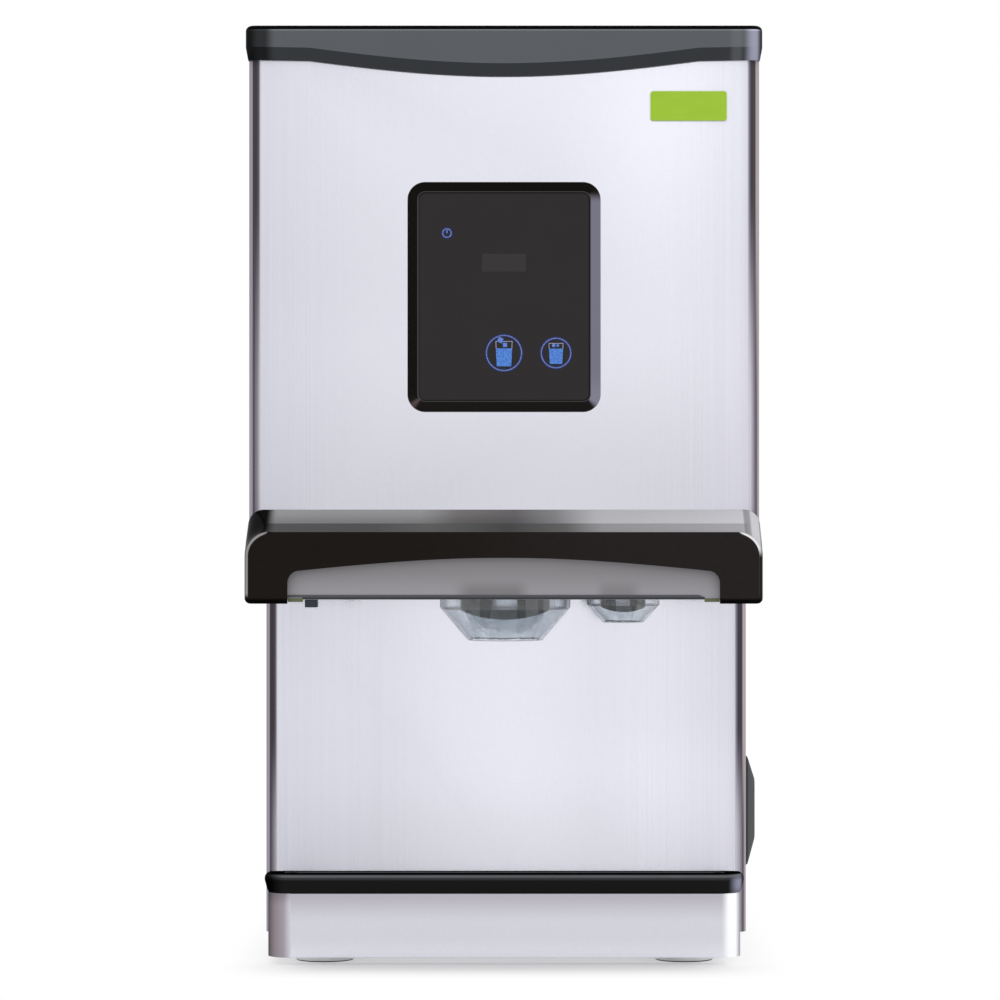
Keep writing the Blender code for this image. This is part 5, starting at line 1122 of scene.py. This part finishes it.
def chute():
    low, high = place_of("ice_chute")
    half, wall, skirt, wave, flange, pin_radius = 0.031, 0.003, 0.0338, 0.0031, 0.003, 0.0028
    skirt_height, shoulder_height = 0.022, 0.014
    window_left, window_right, window_sill, window_head = -0.0110, 0.0093, 0.0023, 0.006
    edge = low.z + wave
    skirt_top = edge + skirt_height
    neck = skirt_top + shoulder_height
    inner = half - wall
    loops = [
        chute_ring(high.x, high.z), chute_ring(high.x, high.z - flange),
        chute_ring(half, high.z - flange), chute_ring(half, neck),
        chute_ring(skirt, skirt_top, roundness=1.0), chute_ring(skirt, edge, wave, 1.0),
        chute_ring(skirt - wall, edge, wave, 1.0), chute_ring(skirt - wall, skirt_top, roundness=1.0),
        chute_ring(inner, neck), chute_ring(inner, high.z),
    ]
    flap_axis = [joint["pos_m"] for joint in frame["joints"] if joint["name"] == "flap_hinge"][0]
    axis = Vector(flap_axis) - shift
    pin = slab("YZ", circle(axis.y, axis.z, pin_radius), -half - overrun, half + overrun)
    window = block((window_left, nozzle_line - skirt - overrun, edge + window_sill),
                   (window_right, nozzle_line + skirt + overrun, cover_bottom + window_head))
    settle("chute_moulding", carve(loft(loops, closed=True), [pin, window]), skirt_finish,
           "ice_chute", edge=0.0004)


def spout():
    low, high = place_of("water_spout")
    wave, wall, neck, bore, radius = 0.0016, 0.002, 0.007, 0.003, 0.017
    window_left, window_right, window_sill = 0.0059, 0.0055, 0.0028
    edge = low.z + wave
    roof = place_of("middle_deck")[0].z - gap

    def ring(radius, level, lift=0.0):
        return [(water_offset + a, nozzle_line + b, level + lift * (a * a - b * b) / radius ** 2)
                for a, b in circle(0, 0, radius, turn_steps)]

    loops = [
        ring(bore, high.z), ring(neck, high.z), ring(neck, roof), ring(radius, roof),
        ring(radius, edge, wave), ring(radius - wall, edge, wave), ring(radius - wall, roof - wall),
        ring(bore, roof - wall),
    ]
    window = block((water_offset - window_left, nozzle_line - radius - overrun, edge + window_sill),
                   (water_offset + window_right, nozzle_line + radius + overrun, roof - wall - gap))
    settle("spout_moulding", carve(loft(loops, closed=True), [window]), skirt_finish,
           "water_spout", edge=0.0004)


# Drip base

base_half_width = 0.175
base_corner = 0.017
base_height = 0.0526
base_foot = place_of("drip_housing")[0].z
base_front = place_of("drip_housing")[0].y
base_rear = recess_depth - gap
rim_reach = 0.0027
rim_top = 0.0666
rim_slope = 0.088
rim_slope_start = 0.025
ledge_top = 0.0440
inner_inset = 0.015


def base_ring(inset, level, sloping=False):
    """One ring round the drip base, inset from the rim's widest outline."""
    half = base_half_width + rim_reach - inset
    front = base_front - rim_reach + inset
    rear = base_rear - max(0.0, inset - rim_reach)
    corner = max(base_corner + rim_reach - inset, fine_corner)
    slope_steps = 8
    run = [front + corner + (rear - fine_corner - front - corner) * step / slope_steps
           for step in range(1, slope_steps)]
    points = [*arc(-half + corner, front + corner, corner, 180, 270, 2 * corner_steps),
              *arc(half - corner, front + corner, corner, 270, 360, 2 * corner_steps),
              *((half, y) for y in run),
              *arc(half - fine_corner, rear - fine_corner, fine_corner, 0, 90, 2),
              *arc(-half + fine_corner, rear - fine_corner, fine_corner, 90, 180, 2),
              *((-half, y) for y in reversed(run))]
    fall = rim_slope if sloping else 0.0
    return [(a, b, level - fall * max(0.0, b - rim_slope_start)) for a, b in points]


def drip_housing():
    inside = rim_reach + gauge
    top = base_height - gap
    bm = loft([base_ring(rim_reach, base_foot), base_ring(rim_reach, top, True),
               base_ring(inside, top, True), base_ring(inside, base_foot + gauge)])
    hole = circle(drain_offset, drain_height, hose_hole)
    bm = carve(bm, [slab("XZ", hole, base_rear - overrun, base_rear + overrun)])
    settle("base_sheet", bm, base_finish, "drip_housing", edge=0.0003)


def drip_rim():
    """Dark moulding on the housing, with an inner ledge that carries the tray."""
    roof = rim_top - 0.003
    ledge_bottom = 0.0418
    channel_edge, channel_inset, ledge_inset = 0.0067, 0.0125, 0.020
    crown = [(rim_reach, base_height), (0.0018, base_height + 0.0022), (0.0004, 0.0598), (0, 0.0618),
             (0.0002, 0.0638), (0.0008, 0.0652), (0.0017, 0.0661), (0.003, rim_top), (0.013, rim_top),
             (inner_inset - 0.0006, rim_top - 0.0006), (inner_inset, rim_top - 0.002)]
    ledge = [(inner_inset, ledge_top), (ledge_inset, ledge_top), (ledge_inset, ledge_bottom),
             (channel_inset, ledge_bottom)]
    channel = [(channel_inset, roof), (channel_edge, roof), (channel_edge, base_height)]
    loops = [base_ring(inset, level, part is not ledge)
             for part in (crown, ledge, channel) for inset, level in part]
    settle("rim_moulding", loft(loops, closed=True), rim_dark, "drip_rim", edge=0.0003,
           crease=32.0)


def drip_tray():
    flange_low = ledge_top + gap
    flange_top = flange_low + gauge
    edge = inner_inset + gap
    wall, wall_inset, taper, drain_y, drain_radius = 0.0015, 0.0204, 0.0016, 0.140, 0.0045
    floor = place_of("drip_tray")[0].z
    foot = wall_inset + taper
    bm = loft([base_ring(foot, floor), base_ring(wall_inset, flange_low), base_ring(edge, flange_low),
               base_ring(edge, flange_top), base_ring(wall_inset + wall, flange_top),
               base_ring(foot + wall, floor + wall)])
    drain = slab("XY", circle(drain_offset, drain_y, drain_radius), floor - overrun, floor + wall + overrun)
    settle("tray_moulding", carve(bm, [drain]), black, "drip_tray", edge=0.0004)


def grille():
    """Loose slotted plate that the cups stand on, with round slot ends."""
    low, high = place_of("drip_grille")
    bar, width, border, middle_bar, corner = 0.005, 0.008, 0.008, 0.010, 0.004
    pitch = bar + width
    count = int((high.x - low.x - 2 * border + bar) // pitch)
    first = (low.x + high.x - pitch * (count - 1)) / 2
    middle = (low.y + high.y) / 2
    row_length = middle - middle_bar / 2 - low.y - border
    slots = []
    for row in (low.y + border + row_length / 2, high.y - border - row_length / 2):
        slots += [upright_slot(first + pitch * index, row, width, row_length) for index in range(count)]
    bm = slab("XY", rounded(low.x, low.y, high.x, high.y, corner), low.z, high.z, slots)
    settle("grille_plate", bm, steel, "drip_grille", "grille", edge=0.0008, segments=3)


# Control panel

control_half_width = 0.0712
control_half_height = 0.0848
control_corner = 0.013
bezel_low, bezel_high = place_of("control_bezel")
control_centre = (bezel_low.z + bezel_high.z) / 2
control_face = bezel_low.y
control_bevel = 0.0074
control_well = control_bevel + 0.0008
bezel_inset = 0.006
glass_face = place_of("touch_glass")[0].y
glass_thickness = 0.003


def control_loop(inset, level):
    half_a = control_half_width - inset
    half_b = control_half_height - inset
    outline = rounded(-half_a, control_centre - half_b, half_a, control_centre + half_b,
                      max(control_corner - inset, fine_corner), 2 * corner_steps)
    return level_loop(outline, "XZ", level)


def bezel():
    """Frame that clips into the front panel, with a bevel that rises to the glass."""
    seat, rear, side_height, ledge_width = -gap, 0.010, 0.0012, 0.0035
    ledge = glass_face + glass_thickness + gap
    lip = control_well + ledge_width
    rings = ((0, seat), (0, seat - side_height), (control_bevel, control_face), (control_well, control_face),
             (control_well, ledge), (lip, ledge), (lip, rear), (bezel_inset, rear), (bezel_inset, seat))
    bm = loft([control_loop(*ring) for ring in rings], closed=True)
    settle("bezel_frame", bm, bezel_finish, "control_bezel", edge=0.0003, segments=3,
           crease=20.0)


def glass():
    inset = control_well + gap
    bm = loft([control_loop(inset, glass_face), control_loop(inset, glass_face + glass_thickness)])
    settle("panel_glass", bm, glass_finish, "touch_glass", edge=0.0004, segments=3)
    low, high = place_of("display_module")
    print_shape("display_window", rounded(low.x, low.z, high.x, high.z, fine_corner), window_finish)


# Signs on the glass, each with a faint dark blue glow round it

print_proud = 0.00006
print_sunk = 0.0002
sign_height = 0.4507
water_sign = 0.0383


def print_shape(name, outline, finish, holes=(), proud=print_proud):
    bm = slab("XZ", outline, glass_face - proud, glass_face + print_sunk, holes)
    settle(name, bm, finish)


def sign_ring(name, x, z, radius):
    stroke, glow = 0.0009, 0.0011
    print_shape(name + "_glow", circle(x, z, radius + glow, turn_steps), halo,
                (circle(x, z, radius - stroke - glow, turn_steps),), print_proud / 2)
    print_shape(name + "_ring", circle(x, z, radius, turn_steps), ring_blue,
                (circle(x, z, radius - stroke, turn_steps),))


def tumbler(name, x, z, top, half_top, bottom, half_bottom, fill):
    """A drinking glass seen from the side: a thin outline with its lower part filled."""
    stroke = 0.0005
    half_fill = half_bottom + (half_top - half_bottom) * (fill - bottom) / (top - bottom)
    print_shape(name + "_fill", [(x - half_bottom, z + bottom), (x + half_bottom, z + bottom),
                                 (x + half_fill, z + fill), (x - half_fill, z + fill)], fill_blue)
    for side, word in ((-1, "left"), (1, "right")):
        wall = [(x + side * half_fill, z + fill), (x + side * half_top, z + top),
                (x + side * (half_top - stroke), z + top), (x + side * (half_fill - stroke), z + fill)]
        print_shape(f"{name}_wall_{word}", wall[::side], pale_line)
    print_shape(name + "_brim", rectangle(x - half_top + stroke, z + top - stroke,
                                          x + half_top - stroke, z + top), pale_line)


def over_tumbler(name, outline):
    print_shape(name, outline, cube_blue, proud=1.5 * print_proud)


def signs():
    power_x, power_z, bar_half, bar_low, bar_high = -0.0420, 0.5390, 0.0005, 0.5388, 0.5414
    sign_ring("power", power_x, power_z, 0.0036)
    print_shape("power_bar", rectangle(power_x - bar_half, bar_low, power_x + bar_half, bar_high), ring_blue)
    sign_ring("ice", 0.0, sign_height, 0.0134)
    tumbler("ice_tumbler", 0.0, sign_height, 0.0088, 0.0063, -0.0098, 0.0053, 0.0034)
    cubes = (("upper", -0.0027, 0.0095, 0.0026, 20), ("lower", 0.0007, 0.0060, 0.0022, 45))
    for name, x, rise, half, turn in cubes:
        over_tumbler(f"ice_cube_{name}", arc(x, sign_height + rise, half, turn, turn + 270, 3))
    sign_ring("water", water_sign, sign_height, 0.0113)
    tumbler("water_tumbler", water_sign, sign_height, 0.0073, 0.0055, -0.0080, 0.0045, 0.0032)
    for name, offset, size in (("left", -0.0017, 0.0013), ("right", 0.0013, 0.0010)):
        over_tumbler(f"water_drop_{name}", circle(water_sign + offset, sign_height + 0.0055, size))


# Badge, left bare

def badge():
    low, high = place_of("badge_plate")
    corner, lip, dome = 0.0024, 0.0003, 0.0005
    outline = rounded(low.x, low.z, high.x, high.z, corner)
    frame_loops = [level_loop(outline, "XZ", level) for level in (high.y, low.y)]
    settle("badge_frame", loft(frame_loops), badge_rim_finish, "badge_plate", edge=0.0004,
           segments=3)
    loops = []
    for inset, rise in ((lip, 0.0), (lip, dome * 0.5), (lip + 0.0006, dome * 0.85), (lip + 0.002, dome)):
        inlay = rounded(low.x + inset, low.z + inset, high.x - inset, high.z - inset,
                        max(corner - inset * 0.6, fine_corner))
        loops.append(level_loop(inlay, "XZ", low.y + gap - rise))
    settle("badge_inlay", loft(loops), badge_finish)


# Rear fittings

rear_face = body_depth + gap
valve_x = half_body - 0.066
valve_height = 0.060
thread_radius = 0.012
drain_offset = 0.030
drain_height = 0.0145
hose_radius = 0.006
hose_hole = hose_radius + 0.0005
inlet_x = 0.135
inlet_z = 0.330
switch_z = inlet_z + 0.024


def inlet_outline(extra):
    """Outline of the body that holds the socket and, above it, the switch."""
    half_width, below, above, corner = 0.014, 0.010, 0.0115, 0.002
    return rounded(inlet_x - half_width - extra, inlet_z - below - extra, inlet_x + half_width + extra,
                   switch_z + above + extra, corner)


def socket():
    """Appliance inlet: flange, well, three blades and the frame of the rocker."""
    low, high = place_of("power_inlet")
    wall, flange_reach, blade_reach = 0.002, 0.004, 0.014
    half_a, half_b, chamfer = 0.012, 0.008, 0.004
    hole_a, hole_b, hole_corner = 0.0065, 0.0095, 0.001
    shell = loft([level_loop(inlet_outline(extra), "XZ", level) for extra, level in (
        (0, low.y), (0, rear_face), (flange_reach, rear_face), (flange_reach, high.y))])
    well = [(inlet_x + a, inlet_z + b) for a, b in (
        (-half_a, -half_b), (half_a, -half_b), (half_a, half_b - chamfer), (half_a - chamfer, half_b),
        (chamfer - half_a, half_b), (-half_a, half_b - chamfer))]
    hole = rounded(inlet_x - hole_a, switch_z - hole_b, inlet_x + hole_a, switch_z + hole_b, hole_corner)
    tools = [slab("XZ", outline, low.y + wall, high.y + overrun) for outline in (well, hole)]
    settle("socket_body", carve(shell, tools), black, "power_inlet", edge=0.0004)
    for name, share in (("left", -1), ("middle", 0), ("right", 1)):
        x = inlet_x + share * half_a / 2
        blade_z = inlet_z + (wall if share == 0 else -wall)
        blade = block((x - wall / 2, low.y + wall, blade_z - wall),
                      (x + wall / 2, low.y + blade_reach, blade_z + wall))
        settle(f"socket_blade_{name}", blade, brass, edge=0.0004)


def rocker():
    """Rocker tipped to off, with its two signs in white."""
    low, high = place_of("rocker_switch")
    x = (low.x + high.x) / 2
    half = (high.x - low.x) / 2
    y = body_depth - 0.003
    z = switch_z
    half_height, proud, dip, tip, heel = 0.0083, 0.0058, 0.0012, -8.0, 0.0048
    steps = 10
    outline = [(0, -half_height), (proud, -half_height)]
    for step in range(1, steps):
        share = 2 * step / steps - 1
        outline.append((proud - dip * (1 - share * share), half_height * share))
    outline += [(proud, half_height), (0, half_height), (-heel, 0)]
    turn = (Matrix.Translation((x, y, z)) @ Matrix.Rotation(math.radians(tip), 4, "X")
            @ Matrix.Translation((-x, -y, -z)))
    sink, rise, bar_half, bar_low, bar_high = 0.0004, 0.00012, 0.0004, 0.0035, 0.0065
    ring_drop, ring_radius, ring_bore = 0.0050, 0.0016, 0.0010
    face = y + proud - sink
    sunk, risen = face - sink, face + rise
    bar = block((x - bar_half, sunk, z + bar_low), (x + bar_half, risen, z + bar_high))
    ring_z = z - ring_drop
    ring = slab("XZ", circle(x, ring_z, ring_radius), sunk, risen, (circle(x, ring_z, ring_bore),))
    body = slab("YZ", [(a + y, b + z) for a, b in outline], x - half, x + half)
    for bm in (body, bar, ring):
        bmesh.ops.transform(bm, matrix=turn, verts=bm.verts)
    settle("rocker_key", body, black, "rocker_switch", "rocker", edge=0.0003, crease=35.0)
    settle("rocker_sign_on", bar, white, body="rocker")
    settle("rocker_sign_off", ring, white, body="rocker")


def threaded(radius, low, high, pitch, depth):
    """Profile of a turned thread between two heights, as rings that rise and fall."""
    profile = []
    count = int((high - low) / pitch)
    for step in range(count):
        start = low + pitch * step
        profile += [(radius - depth, start), (radius, start + pitch * 0.4), (radius, start + pitch * 0.6)]
    return [*profile, (radius - depth, low + pitch * count)]


def valve():
    low, high = place_of("inlet_valve")
    seat = body_depth - gauge - gap
    radius, bore, chamfer, pitch, thread_depth = 0.014, 0.007, 0.001, 0.0018, 0.0008
    coil_radius, coil_neck, coil_crown, coil_setback = 0.012, 0.0115, 0.011, 0.020
    neck_drop, shoulder_drop = 0.026, 0.025
    thread = threaded(thread_radius, body_depth + chamfer, high.y - thread_depth, pitch, thread_depth)
    profile = [(0, low.y), (radius - chamfer, low.y), (radius, low.y + chamfer), (radius, seat),
               (thread_radius, seat), *thread, (thread_radius - 0.0012, high.y), (bore, high.y),
               (bore, seat), (0, seat)]
    body = lathe(profile, "Y", (valve_x, 0, valve_height), 64)
    coil_y = body_depth - 0.003 - coil_setback
    coil = lathe([(0, valve_height), (coil_neck, valve_height), (coil_neck, high.z - neck_drop),
                  (coil_radius, high.z - shoulder_drop), (coil_radius, high.z - chamfer),
                  (coil_crown, high.z), (0, high.z)], "Z", (valve_x, coil_y, 0), 48)
    settle("valve_body", carve(body, [coil], "UNION"), white, "inlet_valve", edge=0.0002,
           crease=50.0)


def drain():
    """Hose fitting with barbs behind its flange."""
    low, high = place_of("drain_fitting")
    bore, flange, groove = 0.003, 0.010, hose_radius - 0.001
    barbs = []
    for start in (0.0032, 0.0068):
        barbs += [(groove, rear_face + start), (hose_radius, rear_face + start + 0.0003),
                  (groove, rear_face + start + 0.0032)]
    profile = [(bore, low.y), (hose_radius, low.y), (hose_radius, rear_face), (flange, rear_face),
               (flange, rear_face + 0.002), (groove, rear_face + 0.002), *barbs, (groove, high.y),
               (bore, high.y)]
    bm = lathe(profile, "Y", (drain_offset, 0, drain_height), 48, True)
    settle("drain_tail", bm, dark, "drain_fitting", edge=0.0003)


def vent_cover():
    """Faceted cover over the air slots of the right side, with louvre slots of its own."""
    low, high = place_of("side_vent_cover")
    slope, wall, corner, foot_slope, side_height = 0.018, 0.002, 0.006, 0.0214, 0.0038
    rows, louvre_height, louvre_margin, setback = 3, 0.006, 0.024, 0.0028
    flat = high.x - setback

    def ring(inset, x, below):
        outline = rounded(low.y + inset, low.z + below, high.y - inset, high.z - inset, corner)
        return level_loop(outline, "YZ", x)

    shell = loft([ring(0, low.x, 0), ring(0, low.x + side_height, slope / 6),
                  ring(slope, flat + 0.001, foot_slope)])
    hollow = loft([ring(2 * wall, low.x - overrun, 2 * wall), ring(2 * wall, low.x + wall / 2, 2 * wall),
                   ring(slope + wall, flat - wall, foot_slope + wall)])
    pitch = (high.z - low.z - 2 * slope) / rows
    length = high.y - low.y - 2 * slope - louvre_margin
    first = low.z + slope + pitch * 0.5
    louvres = slot_rows((low.y + high.y) / 2, first, length, louvre_height, pitch, rows)
    tools = [slab("YZ", hole, flat - 2 * wall, high.x + overrun) for hole in louvres]
    settle("vent_hood", carve(shell, [hollow, *tools]), vent_dark, "side_vent_cover",
           edge=0.0008, segments=3, crease=20.0)


def feet():
    """Plated collars with their studs, each on a rubber sole."""
    groove, sole, stud = 0.0005, 0.0009, 0.004
    pad = base_foot - gap
    for node in ("foot_front_left", "foot_front_right", "foot_rear_left", "foot_rear_right"):
        low, high = place_of(node)
        centre = ((low.x + high.x) / 2, (low.y + high.y) / 2, 0)
        radius = (high.x - low.x) / 2
        tread = [(0, 0), (radius * 0.55, 0), (radius * 0.58, groove), (radius * 0.66, groove),
                 (radius * 0.69, 0), (radius - 0.0012, 0), (radius - 0.0008, sole), (0, sole)]
        collar = [(0, sole), (radius, sole), (radius, pad - 0.0006), (radius - 0.0006, pad), (stud, pad),
                  (stud, high.z), (0, high.z)]
        turned = (("sole", tread, rubber, node), ("collar", collar, plated, None))
        for part, profile, finish, stood_for in turned:
            settle(f"{node}_{part}", lathe(profile, "Z", centre, 72), finish, stood_for,
                   edge=0.0001, crease=35.0)


# Studio

wall_levels = ((-180, 0.62), (-100, 0.62), (-86, 0.5), (-76, 0.42), (-16, 0.42), (-9, 0.97), (0, 1.0),
               (12, 1.1), (20, 1.0), (28, 0.5), (50, 0.5), (58, 1.15), (84, 1.15), (98, 0.75), (180, 0.62))
roof_behind = 0.9
roof_front = 0.25


def floor():
    """Pale floor that fades into the white background away from the machine."""
    size = 8.0
    mesh = bpy.data.meshes.new("floor")
    mesh.from_pydata([(a, b, 0) for a, b in rectangle(-size, -size, size, size)], [], [(0, 1, 2, 3)])
    made = bpy.data.objects.new("floor", mesh)
    bpy.context.collection.objects.link(made)
    finish = bpy.data.materials.new("floor")
    finish.use_nodes = True
    recipe = Recipe(finish.node_tree)
    output = recipe.tree.nodes["Material Output"]
    recipe.tree.nodes.remove(recipe.tree.nodes["Principled BSDF"])
    across = abs(recipe.place(0))
    away = abs(recipe.part_of(recipe.spot(), 1)) + shift.y
    pale = recipe.blend(recipe.noise(30, 3.0), (0.835, 0.835, 0.835), (0.86, 0.86, 0.86))
    matt = recipe.add("ShaderNodeBsdfDiffuse", inputs={"Color": pale})
    lit = recipe.add("ShaderNodeEmission", inputs={"Color": (1.0, 1.0, 1.0), "Strength": 1.0})
    plain = 0.42 * away.fade_out(-0.010, 0.001) + away.fade(0.010, 0.098)
    share = 1.0 - (1.0 - plain) * across.fade_out(0.13, 0.216)
    surface = recipe.add("ShaderNodeMixShader", inputs={0: share, 1: matt, 2: lit})
    recipe.feed(output.inputs["Surface"], surface)
    mesh.materials.append(finish)


def studio_world():
    """A white room to look at; gloss sees a studio whose walls differ, and all else an even light."""
    world = bpy.data.worlds.new("studio")
    bpy.context.scene.world = world
    world.use_nodes = True
    recipe = Recipe(world.node_tree)
    ground = recipe.tree.nodes["Background"]
    way = recipe.add("ShaderNodeTexCoord", output="Generated")
    x, y, z = (recipe.part_of(way, axis) for axis in range(3))
    turn = x.math("ARCTAN2", x, -y) / (2 * math.pi) + 0.5
    stops = [(0.5 + degrees / 360, (level, level, level)) for degrees, level in wall_levels]
    walls = recipe.ramp(turn, stops)
    above = y.fade(-0.25, 0.25) * (roof_behind - roof_front) + roof_front
    roof = recipe.add("ShaderNodeCombineXYZ", inputs={0: above, 1: above, 2: above})
    gloss = recipe.blend(z.fade(0.5, 0.8), walls, roof)
    soft = z.fade(-0.2, 1.0) * 0.3 + 0.93
    even_light = recipe.add("ShaderNodeCombineXYZ", inputs={0: soft, 1: soft, 2: soft})
    shiny, direct, through = (recipe.add("ShaderNodeLightPath", output=f"Is {kind} Ray")
                              for kind in ("Glossy", "Camera", "Transmission"))
    seen = direct + through
    light = recipe.blend(shiny, even_light, gloss)
    recipe.feed(ground.inputs["Color"], recipe.blend(seen.fade(0.0, 1.0), light, (1.0, 1.0, 1.0)))


def camera():
    """The photograph's point of view: level, a little to the right of the middle."""
    eye = Vector((0.0243, -2.74, 0.313))
    data = bpy.data.cameras.new("camera")
    made = bpy.data.objects.new("camera", data)
    bpy.context.collection.objects.link(made)
    made.location = eye + shift
    made.rotation_euler = (math.radians(90), 0, 0)
    data.lens = 133.7
    data.shift_x = -0.037
    data.shift_y = 0.040
    bpy.context.scene.camera = made


for item in list(bpy.data.objects):
    if item.type in ("LIGHT", "CAMERA"):
        bpy.data.objects.remove(item)

camera()
studio_world()
floor()
bpy.context.scene.view_settings.view_transform = "Standard"

# Finishes

steel = brushed_steel("brushed_steel").material
bent_finish = front_steel()
splash_finish = splash_steel()
base_finish = base_steel()
inner_steel = worked("turned_steel", ((90, 90, 1600), 3.0), 30, ((0.6, 0.6, 0.62), (0.8, 0.8, 0.82)),
                     (0.22, 0.2), (0.00003, 0.4), metallic=1.0)
cast = worked("cast_aluminium", (900, 3.0), 40, ((0.52, 0.53, 0.54), (0.7, 0.71, 0.72)),
              (0.4, 0.2), (0.00012, 0.6), metallic=1.0)
brass = worked("machined_brass", ((1400, 1400, 60), 2.0), 70, ((0.6, 0.45, 0.18), (0.78, 0.62, 0.3)),
               (0.22, 0.2), (0.00003, 0.4), metallic=1.0)
plated = worked("polished_foot", ((20, 20, 4000), 3.0), 90, ((0.58, 0.58, 0.59), (0.64, 0.64, 0.65)),
                (0.12, 0.1), (0.00002, 0.5), metallic=1.0)
rubber = worked("moulded_rubber", (900, 3.0), 60, ((0.014, 0.014, 0.014), (0.032, 0.032, 0.032)),
                (0.62, 0.22), (0.00012, 0.5), specular_ior_level=0.3)
cap_finish = cap_moulding()
rim_dark = rim_moulding()
cover_finish = cover_moulding()
lip_grey = lip_moulding()
skirt_finish = skirt_moulding()
dark = moulding("dark_moulding", (0.042, 0.047, 0.05), 0.42, specular_ior_level=0.2).material
vent_dark = moulding("vent_moulding", (0.050, 0.054, 0.060), 0.5, specular_ior_level=0.05).material
grey = moulding("grey_moulding", (0.27, 0.265, 0.28), 0.42).material
seal = moulding("seal_moulding", (0.095, 0.115, 0.045), 0.6).material
black = moulding("black_moulding", (0.02, 0.02, 0.022), 0.45).material
white = moulding("white_moulding", (0.8, 0.81, 0.82), 0.38).material
window_finish = moulding("window_tint", (0.034, 0.031, 0.031), 0.3, specular_ior_level=0.12).material
gloss = gloss_black()
bezel_finish = bezel_black()
glass_finish = dark_glass()
clear = clear_moulding()
badge_finish = badge_green()
badge_rim_finish = badge_rim()
ring_blue = lit_print("ring_blue", (0.07, 0.105, 0.31), (0.12, 0.165, 0.40), 0.25)
fill_blue = lit_print("fill_blue", (0.045, 0.12, 0.42), (0.075, 0.21, 0.55), 0.25)
cube_blue = lit_print("cube_blue", (0.07, 0.15, 0.46), (0.12, 0.21, 0.54), 0.25)
pale_line = lit_print("pale_line", (0.20, 0.21, 0.33), (0.28, 0.27, 0.40), 0.3)
halo = lit_print("halo", (0.010, 0.012, 0.035), (0.016, 0.018, 0.055), 0.3)

for make in (front_panel, splash_sheet, side_sheets, rear_sheet, cap, visor, nozzle_cover, chute, spout,
             drip_housing, drip_rim, drip_tray, grille, bezel, glass, signs, badge, socket, rocker, valve,
             drain, vent_cover, feet):
    make()
nozzle("ice_nozzle", "ice_funnel", 0.0, 0.0497, 0.02835, 0.0066, 0.0314)
nozzle("water_nozzle", "water_funnel", water_offset, 0.0278, 0.01545, 0.0041, 0.0177)

# The model's own pieces, in the finish of their kind
KIND_FINISH = {
    "stainless": inner_steel, "galvanised": galvanised_sheet(), "dark_plastic": dark, "gloss_black": gloss,
    "grey_plastic": grey, "black_plastic": black, "white_plastic": white, "clear_plastic": clear_hose(),
    "dark_glass": glass_finish, "aluminium": cast, "copper": drawn_copper(), "brass": brass,
    "foam": insulation_foam(), "black_paint": baked_enamel(), "black_rubber": rubber,
    "circuit_board": circuit_board(), "green_badge": badge_finish,
}
kinds = {row["node"]: row["material_slot"] for row in frame["record"]["subparts"]}
for name, node in frame["nodes"].items():
    if not node.hide_render:
        node.data.materials.clear()
        node.data.materials.append(KIND_FINISH[kinds[name]])
